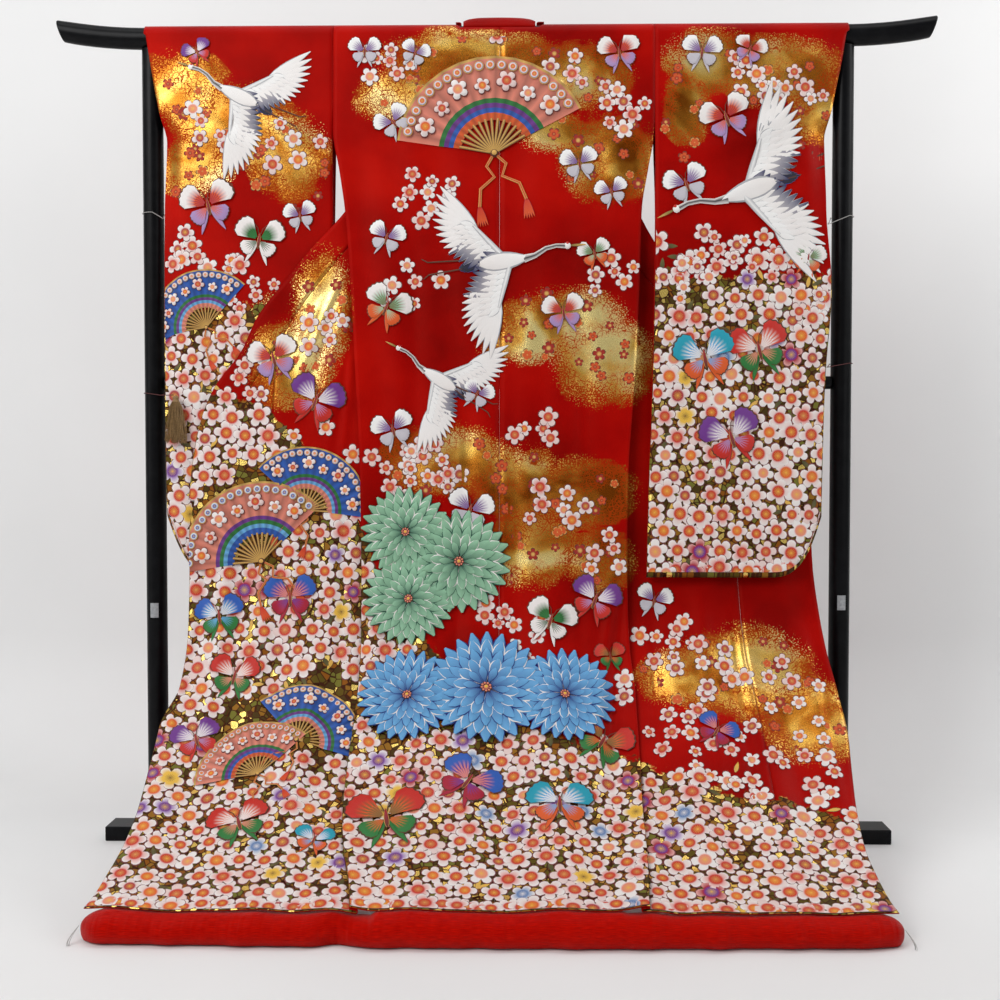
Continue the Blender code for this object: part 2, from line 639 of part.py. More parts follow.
def fuki():
    """The padded hem roll, flat where it rests on the floor, rounded off at both ends."""
    stations = 52
    sides = 12
    points = []
    for i in range(stations):
        x = FUKI_LEFT + (FUKI_RIGHT - FUKI_LEFT) * i / (stations - 1)
        to_end = min(x - FUKI_LEFT, FUKI_RIGHT - x)
        size = math.sqrt(max(0.04, 1 - (1 - min(to_end / FUKI_TAPER, 1.0)) ** 2))
        hem_x = min(max(x, -EDGES["left"]["okumi"](LEVELS[-1].z)), EDGES["right"]["okumi"](LEVELS[-1].z))
        near = [hem_underside(hem_x + shift) for shift in (-0.012, 0.0, 0.012)]
        top_y = near[1][0]
        top_z = min(z for y, z in near) - 0.0010
        puff = 0.0015 * math.sin(x * 61.0) + 0.0012 * math.sin(x * 113.0 + 1.0)
        for k in range(sides):
            angle = 2 * math.pi * k / sides
            reach = FUKI_FRONT if math.cos(angle) < 0 else FUKI_BACK
            y = top_y + (reach + puff) * size * math.cos(angle)
            middle = top_z * 0.45
            if math.sin(angle) >= 0:
                z = middle + (top_z - middle) * math.sin(angle) * min(size, 1.0)
            else:
                z = middle * (1 + 1.28 * math.sin(angle))
            points.append((x, y, max(z, 0.0)))
    faces = []
    for i in range(stations - 1):
        for k in range(sides):
            n = (k + 1) % sides
            a = i * sides
            faces.append((a + k, a + n, a + sides + n, a + sides + k))
    faces.append(tuple(reversed(range(sides))))
    end = (stations - 1) * sides
    faces.append(tuple(range(end, end + sides)))
    place("fuki", points, faces, "hem_silk")


def tube(name, path, radius, sides, kind, closed=False):
    """A round tube along a path of points."""
    path = np.array(path)
    count = len(path)
    points = []
    for i in range(count):
        ahead = path[(i + 1) % count] if closed else path[min(i + 1, count - 1)]
        behind = path[i - 1] if closed or i > 0 else path[0]
        tangent = ahead - behind
        tangent /= np.linalg.norm(tangent)
        first = np.cross(tangent, (0.0, 0.0, 1.0))
        if np.linalg.norm(first) < 0.05:
            first = np.cross(tangent, (0.0, 1.0, 0.0))
        first /= np.linalg.norm(first)
        second = np.cross(tangent, first)
        for k in range(sides):
            angle = 2 * math.pi * k / sides
            points.append(path[i] + radius * (math.cos(angle) * first + math.sin(angle) * second))
    faces = []
    for i in range(count if closed else count - 1):
        for k in range(sides):
            n = (k + 1) % sides
            a = i * sides
            b = ((i + 1) % count) * sides
            faces.append((a + k, a + n, b + n, b + k))
    if not closed:
        faces.append(tuple(range(sides)))
        faces.append(tuple((count - 1) * sides + k for k in range(sides)))
    return place(name, points, faces, kind)


def bar_centre(x):
    """Height of the top bar's centre line, which turns up towards both ends."""
    to_end = min(x - BAR_END_LEFT, BAR_END_RIGHT - x)
    share = max(0.0, 1 - to_end / BAR_LIFT_LENGTH)
    return BAR_Z + BAR_LIFT * share ** 2


def top_bar():
    """The long oval top bar with upturned ends cut at a slant."""
    near_ends = [0.0, 0.03, 0.06, 0.09, 0.13, 0.17]
    stations = [BAR_END_LEFT + d for d in near_ends]
    stations += [BAR_END_RIGHT - d for d in reversed(near_ends)]
    sides = 20
    slant = 0.006
    points = []
    for x in stations:
        z = bar_centre(x)
        end = (x - BAR_END_LEFT < 0.001) * -1.0 + (BAR_END_RIGHT - x < 0.001) * 1.0
        for k in range(sides):
            angle = 2 * math.pi * k / sides
            lift = BAR_HEIGHT / 2 * math.sin(angle)
            points.append((x + end * slant * math.sin(angle), BAR_DEPTH / 2 * math.cos(angle), z + lift))
    faces = []
    for i in range(len(stations) - 1):
        for k in range(sides):
            n = (k + 1) % sides
            a = i * sides
            faces.append((a + k, a + n, a + sides + n, a + sides + k))
    faces.append(tuple(range(sides)))
    faces.append(tuple((len(stations) - 1) * sides + k for k in range(sides)))
    place("top_bar", points, faces, "lacquer")


def box(name, low, high, kind, bevel=0.0):
    """A plain block between two corners, with its edges eased."""
    piece_mesh = bmesh.new()
    bmesh.ops.create_cube(piece_mesh, size=1.0)
    low = np.array(low)
    high = np.array(high)
    for vertex in piece_mesh.verts:
        share = np.array(vertex.co) + 0.5
        vertex.co = low + (high - low) * share
    if bevel > 0:
        bmesh.ops.bevel(piece_mesh, geom=piece_mesh.edges[:], offset=bevel, segments=1, affect="EDGES")
    mesh = bpy.data.meshes.new(name)
    piece_mesh.to_mesh(mesh)
    piece_mesh.free()
    mesh.materials.append(finish(kind))
    piece = bpy.data.objects.new(name, mesh)
    bpy.context.scene.collection.objects.link(piece)


def stand():
    """Top bar, posts, rail, base beam and the cross feet that the garment hides."""
    top_bar()
    for side, x in (("left", POST_X_LEFT), ("right", POST_X_RIGHT)):
        low = BEAM_HEIGHT + SEAM
        high = BAR_Z - BAR_HEIGHT / 2 - SEAM
        tube("post_" + side, [(x, 0, low), (x, 0, high)], POST_RADIUS, 24, "lacquer")
    inset = POST_RADIUS + SEAM
    tube("middle_rail", [(POST_X_LEFT + inset, 0, RAIL_Z), (POST_X_RIGHT - inset, 0, RAIL_Z)], RAIL_RADIUS, 16, "lacquer")
    half = BEAM_DEPTH / 2
    box("base_beam", (BEAM_LEFT, -half, 0), (BEAM_RIGHT, half, BEAM_HEIGHT), "lacquer", 0.0015)
    for side, sign in SIGN.items():
        for part, direction in (("front", -1), ("rear", 1)):
            near = direction * (half + SEAM)
            far = direction * FOOT_LENGTH / 2
            low = (sign * FOOT_X - FOOT_WIDTH / 2, min(near, far), 0)
            high = (sign * FOOT_X + FOOT_WIDTH / 2, max(near, far), BEAM_HEIGHT)
            box("foot_" + side + "_" + part, low, high, "lacquer", 0.0015)
    post_plate("post_plate_left", POST_X_LEFT, PLATE_Z_LEFT)
    post_plate("post_plate_right", POST_X_RIGHT, PLATE_Z_RIGHT)


def post_plate(name, x, z):
    """A small curved plate on the viewer's side of a post."""
    reach = PLATE_WIDTH / 2 / POST_RADIUS
    radius = POST_RADIUS + SEAM + PLATE_THICK / 2
    grid = []
    for height in (z + PLATE_HEIGHT / 2, z - PLATE_HEIGHT / 2):
        row = []
        for share in (-1.0, -0.5, 0.0, 0.5, 1.0):
            angle = reach * share
            row.append((x + radius * math.sin(angle), -radius * math.cos(angle), height))
        grid.append(row)
    wall(name, grid, PLATE_THICK, "plate")


def tie(spec):
    """A thin string that runs round a post and back to the sleeve's outer edge."""
    left = spec.side == "left"
    post = POST_X_LEFT if left else POST_X_RIGHT
    inward = 1.0 if left else -1.0
    z_edge = spec.z - spec.drop
    edge = sleeve_curve(spec.side, "outer")(z_edge) + CLOTH / 2 + TIE_RADIUS + 0.0025
    middle = (sleeve_curve(spec.side, "front")(z_edge) + sleeve_curve(spec.side, "rear")(z_edge)) / 2
    tip = np.array([edge * SIGN[spec.side], middle, z_edge])
    if spec.over > 0:
        tip[1] = sleeve_curve(spec.side, "front")(z_edge) - 0.011
    around = POST_RADIUS + TIE_RADIUS + 3 * SEAM
    reach_x = (tip[0] - post) * inward
    facing = math.atan2(tip[1], reach_x)
    touch = math.acos(around / math.hypot(reach_x, tip[1]))
    path = []
    for step in range(15):
        angle = facing + touch + (2 * math.pi - 2 * touch) * step / 14
        path.append((post + inward * around * math.cos(angle), around * math.sin(angle), spec.z))
    start = np.array(path[0])
    end = np.array(path[-1])
    width = 2 * TIE_RADIUS * np.array([-math.sin(facing) * inward, math.cos(facing), 0.0])
    path += [tuple(end + (tip - end) * 0.5), tuple(tip - width)]
    if spec.over > 0:
        far = tip + np.array([spec.over * inward, -0.004, 0.0])
        apart = np.array([0.0, 2 * TIE_RADIUS, 0.0])
        turn = far + np.array([2.5 * TIE_RADIUS * inward, 0.0, 0.0])
        path += [tuple(far - apart), tuple(turn), tuple(far + apart)]
    path += [tuple(tip + width), tuple(start + (tip - start) * 0.5)]
    tube(spec.name, path, TIE_RADIUS, 5, spec.shade, closed=True)


def tassel():
    """A thread tassel: a small head whose underside is drawn out into separate strands."""
    work = bmesh.new()
    rings = []
    outline = [(0.0, 0.35), (0.25, 0.85), (0.6, 1.0), (1.0, 0.92)]
    for drop, wide in outline:
        ring = []
        for k in range(TASSEL_SIDES):
            angle = 2 * math.pi * k / TASSEL_SIDES
            radius = TASSEL_HEAD_RADIUS * wide
            z = TASSEL_TOP - TASSEL_HEAD_HEIGHT * drop
            ring.append(work.verts.new((TASSEL_X + radius * math.cos(angle), TASSEL_Y + 0.8 * radius * math.sin(angle), z)))
        rings.append(ring)
    under = TASSEL_TOP - TASSEL_HEAD_HEIGHT
    for share in (0.62, 0.30):
        ring = []
        for k in range(TASSEL_SIDES):
            angle = 2 * math.pi * k / TASSEL_SIDES
            radius = TASSEL_HEAD_RADIUS * share * outline[-1][1]
            ring.append(work.verts.new((TASSEL_X + radius * math.cos(angle), TASSEL_Y + 0.8 * radius * math.sin(angle), under)))
        rings.append(ring)
    cells = []
    for r in range(len(rings) - 1):
        for k in range(TASSEL_SIDES):
            n = (k + 1) % TASSEL_SIDES
            face = work.faces.new((rings[r][k], rings[r][n], rings[r + 1][n], rings[r + 1][k]))
            if r >= len(outline) - 1:
                cells.append(face)
    work.faces.new(rings[0][::-1])
    cells.append(work.faces.new(rings[-1]))
    bmesh.ops.recalc_face_normals(work, faces=work.faces)
    bmesh.ops.inset_individual(work, faces=cells, thickness=0.00022)
    for number, face in enumerate(cells):
        centre = face.calc_center_median()
        across = (centre.x - TASSEL_X) / TASSEL_HEAD_RADIUS
        deep = (centre.y - TASSEL_Y) / (0.8 * TASSEL_HEAD_RADIUS)
        length = TASSEL_LENGTH * (0.93 + 0.07 * math.cos(number * 2.4))
        for part in (STRAND_NECK, 1.0 - STRAND_NECK):
            made = bmesh.ops.extrude_discrete_faces(work, faces=[face])
            face = made["faces"][0]
            move_x = across * (TASSEL_SPREAD_X - TASSEL_HEAD_RADIUS) * part
            move_y = deep * (TASSEL_SPREAD_Y - 0.8 * TASSEL_HEAD_RADIUS) * part
            for vertex in face.verts:
                vertex.co.x += move_x
                vertex.co.y += move_y
                vertex.co.z -= (length - TASSEL_HEAD_HEIGHT) * part
    mesh = bpy.data.meshes.new("tassel")
    work.to_mesh(mesh)
    work.free()
    mesh.materials.append(finish("thread"))
    mesh.shade_smooth()
    mesh.set_sharp_from_angle(angle=math.radians(40))
    piece = bpy.data.objects.new("tassel", mesh)
    bpy.context.scene.collection.objects.link(piece)


def build():
    clear_scene()
    stand()
    for side in SIGN:
        back_panel(side)
        front_panel(side)
        okumi_panel(side)
        collar_half(side)
        sleeve(side)
    collar_neck()
    fuki()
    tassel()
    for spec in TIES:
        tie(spec)


build()
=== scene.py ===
"""Uchikake wedding kimono hung, back outwards, over a black lacquered kimono stand."""
import math
from collections import namedtuple

import bpy
import numpy as np
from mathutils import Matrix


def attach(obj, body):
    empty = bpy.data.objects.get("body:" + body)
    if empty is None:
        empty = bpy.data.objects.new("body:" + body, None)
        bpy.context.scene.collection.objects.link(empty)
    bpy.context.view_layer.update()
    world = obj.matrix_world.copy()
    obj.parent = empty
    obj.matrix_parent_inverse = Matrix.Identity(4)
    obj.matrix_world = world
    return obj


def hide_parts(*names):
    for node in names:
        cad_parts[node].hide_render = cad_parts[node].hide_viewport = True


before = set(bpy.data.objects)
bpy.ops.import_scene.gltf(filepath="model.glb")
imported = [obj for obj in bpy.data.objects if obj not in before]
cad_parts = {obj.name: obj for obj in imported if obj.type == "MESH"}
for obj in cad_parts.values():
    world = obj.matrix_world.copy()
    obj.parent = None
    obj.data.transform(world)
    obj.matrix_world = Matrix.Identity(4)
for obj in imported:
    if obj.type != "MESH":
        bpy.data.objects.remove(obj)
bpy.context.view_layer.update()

ROOT = "root"
SIDES = ("left", "right")

# Cloth and seams
CLOTH = 0.0022
COLLAR_CLOTH = 0.0030
SEAM = 0.0003
LAYER = CLOTH + 0.0012

# Stand
POST_X_LEFT = -0.6645
POST_X_RIGHT = 0.6516
POST_RADIUS = 0.0195
BAR_DEPTH = 0.036
BAR_HEIGHT = 0.0406
BAR_Z = 1.5385
BAR_END_LEFT = -0.841
BAR_END_RIGHT = 0.821
BAR_LIFT = 0.0155
BAR_LIFT_LENGTH = 0.17
BAR_ROUNDING = 0.003
RAIL_Z = 0.882
RAIL_RADIUS = 0.0125
BEAM_HEIGHT = 0.028

# Cloth over the bar, measured at the middle of its wall
ARCH_DEPTH = BAR_DEPTH / 2 + 0.0032
ARCH_HEIGHT = BAR_HEIGHT / 2 + SEAM + CLOTH / 2
NECK = 0.075
NECK_SLOPE = 0.014
NECK_ANGLE = math.radians(54)

# Hem roll
HEM_Y = -0.545
FUKI_FRONT = 0.040
FUKI_BACK = 0.034
FUKI_LEFT = -0.636
FUKI_RIGHT = 0.624
FUKI_TAPER = 0.045
HEM_BOW = 0.010

# Sleeves
CUFF_Z = 1.337
SLEEVE_BOTTOM = 0.516
SLEEVE_CORNER = 0.112
SLEEVE_SEAM_DEPTH = 0.0023
CUFF_CLOSING = 0.055


def table(kind, *rows):
    """Rows of a table with named columns."""
    return [kind(*row) for row in rows]


# One row for each level of the curtain, from the bar down to the hem.
# z, y: place of the back's wall. side: side seam. front: outer edge of the front panel.
# okumi and collar: outer edges of the okumi and of the collar, as distances from the middle.
# gap_r: how far the turned right front lies behind its tuck, to leave room for the sleeve.
Level = namedtuple("Level", "z y side_l front_l okumi_l collar_l side_r front_r okumi_r collar_r gap_r")
LEVELS = table(
    Level,
    (1.5385, -0.0212, 0.3145, 0.084, None, 0.150, 0.2920, 0.084, None, 0.149, 0.0060),
    (1.4900, -0.0235, 0.3145, 0.096, None, 0.164, 0.2920, 0.095, None, 0.163, 0.0060),
    (1.4300, -0.0265, 0.3145, 0.117, None, 0.185, 0.2920, 0.112, None, 0.180, 0.0070),
    (1.3560, -0.0315, 0.3145, 0.145, None, 0.213, 0.2910, 0.136, None, 0.204, 0.0090),
    (1.2800, -0.0375, 0.3020, 0.180, None, 0.248, 0.2790, 0.165, None, 0.233, 0.0130),
    (1.2060, -0.0440, 0.2910, 0.222, None, 0.290, 0.2670, 0.194, None, 0.262, 0.0180),
    (1.1300, -0.0490, 0.2840, 0.290, None, 0.358, 0.2640, 0.237, None, 0.305, 0.0215),
    (1.0600, -0.0530, 0.2795, 0.347, None, 0.415, 0.2620, 0.294, None, 0.362, 0.0225),
    (1.0000, -0.0555, 0.2760, 0.391, None, 0.459, 0.2590, 0.342, None, 0.410, 0.0225),
    (0.9400, -0.0580, 0.2730, 0.419, 0.427, 0.487, 0.2570, 0.384, 0.392, 0.452, 0.0225),
    (0.8700, -0.0605, 0.2690, 0.425, 0.471, 0.539, 0.2520, 0.405, 0.445, 0.505, 0.0225),
    (0.8000, -0.0635, 0.2650, 0.428, 0.514, 0.565, 0.2470, 0.420, 0.492, 0.543, 0.0225),
    (0.7300, -0.0665, 0.2620, 0.428, 0.552, 0.578, 0.2420, 0.432, 0.535, 0.566, 0.0225),
    (0.6600, -0.0700, 0.2600, 0.429, 0.573, 0.585, 0.2400, 0.440, 0.568, 0.580, 0.0235),
    (0.6000, -0.0740, 0.2590, 0.430, 0.583, None, 0.2390, 0.444, 0.586, None, 0.0250),
    (0.5300, -0.0810, 0.2580, 0.432, 0.581, None, 0.2390, 0.447, 0.590, None, 0.0265),
    (0.4600, -0.0940, 0.2570, 0.441, 0.579, None, 0.2390, 0.450, 0.596, None, 0.0200),
    (0.3900, -0.1170, 0.2550, 0.453, 0.577, None, 0.2410, 0.453, 0.603, None, 0.0110),
    (0.3200, -0.1540, 0.2560, 0.476, 0.581, None, 0.2480, 0.462, 0.614, None, 0.0075),
    (0.2550, -0.2060, 0.2590, 0.493, 0.605, None, 0.2490, 0.469, 0.619, None, 0.0060),
    (0.1950, -0.2680, 0.2620, 0.490, 0.606, None, 0.2480, 0.471, 0.612, None, 0.0060),
    (0.1450, -0.3380, 0.2590, 0.475, 0.605, None, 0.2460, 0.470, 0.604, None, 0.0060),
    (0.1020, -0.4100, 0.2480, 0.462, 0.611, None, 0.2450, 0.466, 0.601, None, 0.0060),
    (0.0730, -0.4750, 0.2320, 0.453, 0.620, None, 0.2420, 0.463, 0.606, None, 0.0060),
    (0.0550, -0.5200, 0.2240, 0.448, 0.627, None, 0.2380, 0.462, 0.612, None, 0.0060),
    (0.0480, HEM_Y, 0.2210, 0.447, 0.632, None, 0.2370, 0.462, 0.617, None, 0.0060),
)
OKUMI_TOP = 9
COLLAR_END = 13
OKUMI_TOP_Z = LEVELS[OKUMI_TOP].z
COLLAR_END_Z = LEVELS[COLLAR_END].z
COLLAR_SEWN_BELOW = 1.48
COLLAR_TOP_GAP = 0.003

# How far the fronts lie behind the back, from the shoulder down to where the side seam starts
SHOULDER_DROP = [
    (1.5385, 0.0424), (1.490, 0.0449), (1.430, 0.0477), (1.356, 0.0445), (1.280, 0.0240), (1.206, LAYER),
]

# Turned-out width of each front that the tuck behind the side seam takes up
FRONT_WIDTH = [
    (1.5385, 0.235), (1.130, 0.235), (1.060, 0.220), (0.940, 0.200), (0.870, 0.185), (0.800, 0.150),
]
TUCK_LEAST = 0.012
TUCK_GAP_LEFT = 0.006

# Distance of each front behind the back's own surface at its outer edge
LAY_BACK_LEFT = [(0.80, 0.0085), (0.66, 0.0040), (0.53, 0.0030), (0.048, 0.0030)]
LAY_BACK_RIGHT = [
    (0.53, 0.0290), (0.46, 0.0225), (0.39, 0.0135), (0.32, 0.0090), (0.255, 0.0045), (0.048, 0.0030),
]

# Hanging folds of the curtain: depth is away from the viewer, negative for a ridge
Fold = namedtuple("Fold", "x_high x_low z_high z_low width depth at_hem")
FOLDS = table(
    Fold,
    (0.258, 0.205, 0.62, 0.16, 0.036, 0.013, 0.2),
    (0.120, 0.100, 1.00, 0.25, 0.050, -0.007, 0.6),
    (0.000, 0.020, 0.80, 0.20, 0.035, 0.005, 0.4),
    (-0.120, -0.130, 1.00, 0.30, 0.045, -0.006, 0.6),
    (-0.200, -0.190, 0.70, 0.20, 0.030, 0.006, 0.4),
    (-0.360, -0.360, 0.60, 0.20, 0.040, -0.010, 0.5),
    (-0.460, -0.500, 0.60, 0.20, 0.030, 0.008, 0.4),
    (-0.570, -0.590, 0.50, 0.15, 0.030, -0.006, 0.5),
    (0.330, 0.330, 0.45, 0.15, 0.040, -0.010, 0.5),
    (0.500, 0.520, 0.45, 0.15, 0.030, 0.007, 0.4),
    (-0.250, -0.250, 0.20, 0.06, 0.050, -0.010, 1.0),
    (0.235, 0.235, 0.20, 0.06, 0.045, -0.012, 1.0),
)

# Gathers that fan out from the left armhole and soft diagonal ridges on the sleeves
Ridge = namedtuple("Ridge", "x1 z1 x2 z2 width height")
LEFT_FRONT_GATHERS = table(
    Ridge,
    (-0.305, 1.15, -0.395, 0.90, 0.014, 0.010),
    (-0.288, 1.06, -0.345, 0.78, 0.013, 0.009),
    (-0.335, 1.05, -0.425, 0.84, 0.011, 0.008),
)
SLEEVE_RIDGES = {
    "left": table(
        Ridge,
        (-0.62, 1.49, -0.34, 1.33, 0.028, 0.007),
        (-0.60, 1.38, -0.34, 1.25, 0.022, 0.004),
    ),
    "right": table(
        Ridge,
        (0.665, 1.51, 0.365, 1.37, 0.030, 0.008),
        (0.620, 1.40, 0.350, 1.30, 0.024, 0.005),
        (0.450, 1.15, 0.420, 0.62, 0.035, 0.004),
    ),
}

# Sleeve layers: places of the front and rear walls, and of the inner and outer edges
SleeveRow = namedtuple("SleeveRow", "z front rear inner outer")
SLEEVE_ROWS = {
    "left": table(
        SleeveRow,
        (1.5602, -0.0212, 0.0212, 0.3148, 0.675),
        (1.5385, -0.0212, 0.0212, 0.3148, 0.671),
        (1.4900, -0.0235, 0.0214, 0.3148, 0.663),
        (1.4400, -0.0260, 0.0216, 0.3148, 0.654),
        (1.3900, -0.0290, 0.0205, 0.3148, 0.644),
        (CUFF_Z, -0.0310, 0.0140, 0.3148, 0.634),
        (1.2060, -0.0315, -0.0040, 0.3148, 0.637),
        (1.0600, -0.0370, -0.0180, 0.3148, 0.636),
        (0.8800, -0.0425, -0.0255, 0.3148, 0.635),
        (0.7000, -0.0470, -0.0300, 0.3120, 0.633),
        (0.5160, -0.0560, -0.0390, 0.3090, 0.624),
    ),
    "right": table(
        SleeveRow,
        (1.5602, -0.0212, 0.0212, 0.2923, 0.657),
        (1.5385, -0.0212, 0.0212, 0.2923, 0.652),
        (1.4900, -0.0235, 0.0214, 0.2923, 0.643),
        (1.4400, -0.0260, 0.0216, 0.2923, 0.633),
        (1.3900, -0.0290, 0.0200, 0.2923, 0.623),
        (CUFF_Z, -0.0335, 0.0080, 0.2923, 0.612),
        (1.2060, -0.0470, -0.0310, 0.2923, 0.611),
        (1.0600, -0.0560, -0.0400, 0.2905, 0.620),
        (0.8800, -0.0620, -0.0460, 0.2865, 0.608),
        (0.7000, -0.0700, -0.0540, 0.2795, 0.602),
        (0.5160, -0.0830, -0.0670, 0.2740, 0.597),
    ),
}

# Collar over the bar at the back of the neck, from its left end to its right end:
# seam edge k on the viewer's side, crown m, and free edge c behind the bar
NeckRow = namedtuple("NeckRow", "x ky kz my mz cy cz")
NECK_ROWS = table(
    NeckRow,
    (-0.0690, -0.0167, 1.5521, 0.0040, 1.5900, 0.0360, 1.5290),
    (-0.0600, -0.0167, 1.5520, 0.0030, 1.5990, 0.0370, 1.5270),
    (-0.0350, -0.0167, 1.5520, 0.0030, 1.6060, 0.0380, 1.5250),
    (0.0000, -0.0167, 1.5520, 0.0030, 1.6070, 0.0380, 1.5250),
    (0.0350, -0.0167, 1.5520, 0.0030, 1.6050, 0.0380, 1.5250),
    (0.0580, -0.0167, 1.5520, 0.0030, 1.5980, 0.0370, 1.5270),
    (0.0670, -0.0167, 1.5521, 0.0040, 1.5890, 0.0360, 1.5290),
)

# Tassel tied to the left sleeve
TASSEL_X = -0.6095
TASSEL_Y = -0.0585
TASSEL_TOP = 0.8554
TASSEL_LENGTH = 0.092
TASSEL_HEAD_RADIUS = 0.0065
TASSEL_HEAD_HEIGHT = 0.012
TASSEL_SPREAD_X = 0.0175
TASSEL_SPREAD_Y = 0.0075

# Tie strings round the posts: side, height, drop towards the sleeve, colour,
# and how far the string runs on over the sleeve's front
Tie = namedtuple("Tie", "name side z drop shade over")
TIES = table(
    Tie,
    ("tie_grey_left", "left", 1.206, 0.012, "grey", 0.0),
    ("tie_grey_right", "right", 1.196, 0.020, "grey", 0.0),
    ("tie_dark_left", "left", 0.8625, 0.006, "dark", 0.024),
    ("tie_dark_right", "right", 0.918, 0.010, "dark", 0.0),
)
TIE_RADIUS = 0.0008

# Fine creases of the curtain between two points: positive depth is a trough
Crease = namedtuple("Crease", "x1 z1 x2 z2 width depth")
CREASES = table(
    Crease,
    (0.245, 0.60, 0.185, 0.10, 0.012, 0.0035),
    (0.215, 0.50, 0.150, 0.12, 0.010, -0.0025),
    (0.160, 0.95, 0.145, 0.30, 0.016, 0.0020),
    (0.060, 1.10, 0.050, 0.35, 0.020, -0.0018),
    (-0.060, 0.90, -0.085, 0.22, 0.014, 0.0022),
    (-0.160, 1.20, -0.165, 0.50, 0.018, 0.0018),
    (-0.215, 0.62, -0.245, 0.16, 0.012, -0.0030),
    (-0.290, 0.66, -0.300, 0.22, 0.010, 0.0028),
    (-0.330, 0.42, -0.345, 0.10, 0.012, -0.0024),
    (-0.405, 0.80, -0.420, 0.20, 0.014, 0.0024),
    (-0.500, 0.70, -0.535, 0.14, 0.012, -0.0026),
    (-0.545, 0.60, -0.580, 0.16, 0.010, 0.0024),
    (0.285, 0.46, 0.280, 0.10, 0.010, 0.0026),
    (0.375, 0.50, 0.390, 0.12, 0.014, -0.0022),
    (0.430, 0.48, 0.452, 0.10, 0.010, 0.0026),
    (0.560, 0.45, 0.585, 0.12, 0.012, -0.0024),
    (-0.62, 0.075, -0.33, 0.094, 0.009, 0.0026),
    (-0.34, 0.086, -0.18, 0.072, 0.008, 0.0034),
    (-0.20, 0.094, 0.06, 0.084, 0.010, -0.0022),
    (0.02, 0.070, 0.26, 0.090, 0.009, 0.0024),
    (0.22, 0.078, 0.42, 0.094, 0.008, 0.0034),
    (0.40, 0.092, 0.60, 0.080, 0.009, 0.0026),
    (-0.29, 0.118, -0.21, 0.098, 0.008, -0.0026),
    (0.205, 0.112, 0.290, 0.126, 0.008, -0.0026),
    (-0.24, 1.46, -0.10, 1.40, 0.016, -0.0016),
    (0.10, 1.43, 0.26, 1.48, 0.016, -0.0016),
)
# Finer gathers of the left front, and fine creases of the sleeves
GATHERS_LEFT = table(
    Ridge,
    (-0.300, 1.18, -0.365, 0.98, 0.008, 0.005),
    (-0.290, 1.11, -0.395, 0.84, 0.008, 0.006),
    (-0.283, 1.02, -0.325, 0.74, 0.007, 0.005),
    (-0.275, 0.96, -0.300, 0.70, 0.007, 0.004),
    (-0.320, 0.99, -0.450, 0.80, 0.009, 0.005),
)
SLEEVE_CREASES = {
    "left": table(
        Ridge,
        (-0.66, 1.44, -0.40, 1.29, 0.012, 0.0030),
        (-0.63, 1.30, -0.45, 1.16, 0.014, 0.0030),
        (-0.60, 1.22, -0.56, 0.70, 0.014, 0.0025),
        (-0.56, 1.12, -0.53, 0.62, 0.012, -0.0022),
    ),
    "right": table(
        Ridge,
        (0.64, 1.46, 0.42, 1.31, 0.012, 0.0032),
        (0.60, 1.33, 0.38, 1.20, 0.014, 0.0030),
        (0.52, 1.26, 0.50, 0.68, 0.014, 0.0024),
        (0.36, 1.20, 0.345, 0.62, 0.012, -0.0020),
        (0.585, 1.15, 0.575, 0.66, 0.010, 0.0020),
    ),
}


def smooth_curve(pairs):
    """A cubic through (position, value) pairs that never overshoots them."""
    pairs = sorted(pairs)
    xs = np.array([p[0] for p in pairs])
    ys = np.array([p[1] for p in pairs])
    steps = np.diff(xs)
    slopes = np.diff(ys) / steps
    tangents = np.zeros(len(xs))
    tangents[0] = slopes[0]
    tangents[-1] = slopes[-1]
    for i in range(1, len(xs) - 1):
        if slopes[i - 1] * slopes[i] > 0:
            w1 = 2 * steps[i] + steps[i - 1]
            w2 = steps[i] + 2 * steps[i - 1]
            tangents[i] = (w1 + w2) / (w1 / slopes[i - 1] + w2 / slopes[i])

    def value(x):
        x = np.clip(x, xs[0], xs[-1])
        i = np.clip(np.searchsorted(xs, x) - 1, 0, len(xs) - 2)
        h = steps[i]
        t = (x - xs[i]) / h
        low = (1 + 2 * t) * (1 - t) ** 2 * ys[i] + t * (1 - t) ** 2 * h * tangents[i]
        high = t * t * (3 - 2 * t) * ys[i + 1] + t * t * (t - 1) * h * tangents[i + 1]
        return low + high

    return value


def ease(t):
    """0 to 1, with a smooth start and end."""
    t = np.clip(t, 0.0, 1.0)
    return t * t * (3 - 2 * t)


def column(name):
    return smooth_curve([(row.z, getattr(row, name)) for row in LEVELS if getattr(row, name) is not None])


CURTAIN_Y = column("y")
EDGES = {
    side: {name: column(name + "_" + side[0]) for name in ("side", "front", "okumi", "collar")}
    for side in SIDES
}
GAP_RIGHT = column("gap_r")
SHOULDER = smooth_curve(SHOULDER_DROP)
WIDTH = smooth_curve(FRONT_WIDTH)
LAY_BACK = {"left": smooth_curve(LAY_BACK_LEFT), "right": smooth_curve(LAY_BACK_RIGHT)}
SIGN = {"left": -1.0, "right": 1.0}
TOP_Z = LEVELS[0].z
HEM_Z = LEVELS[-1].z

# Distance along the cloth from the top of the bar, and the level there
ARC_Z = np.linspace(TOP_Z, HEM_Z, 1500)
ARC = np.concatenate([[0.0], np.cumsum(np.hypot(np.diff(ARC_Z), np.diff(CURTAIN_Y(ARC_Z))))])
ARCH_LENGTH = math.pi / 2 * (ARCH_DEPTH + ARCH_HEIGHT) / 2
ARC += ARCH_LENGTH


def along(z):
    """Distance down the cloth at a level."""
    return np.interp(-np.asarray(z, float), -ARC_Z, ARC)


def level_at(v):
    return np.interp(v, ARC, ARC_Z)


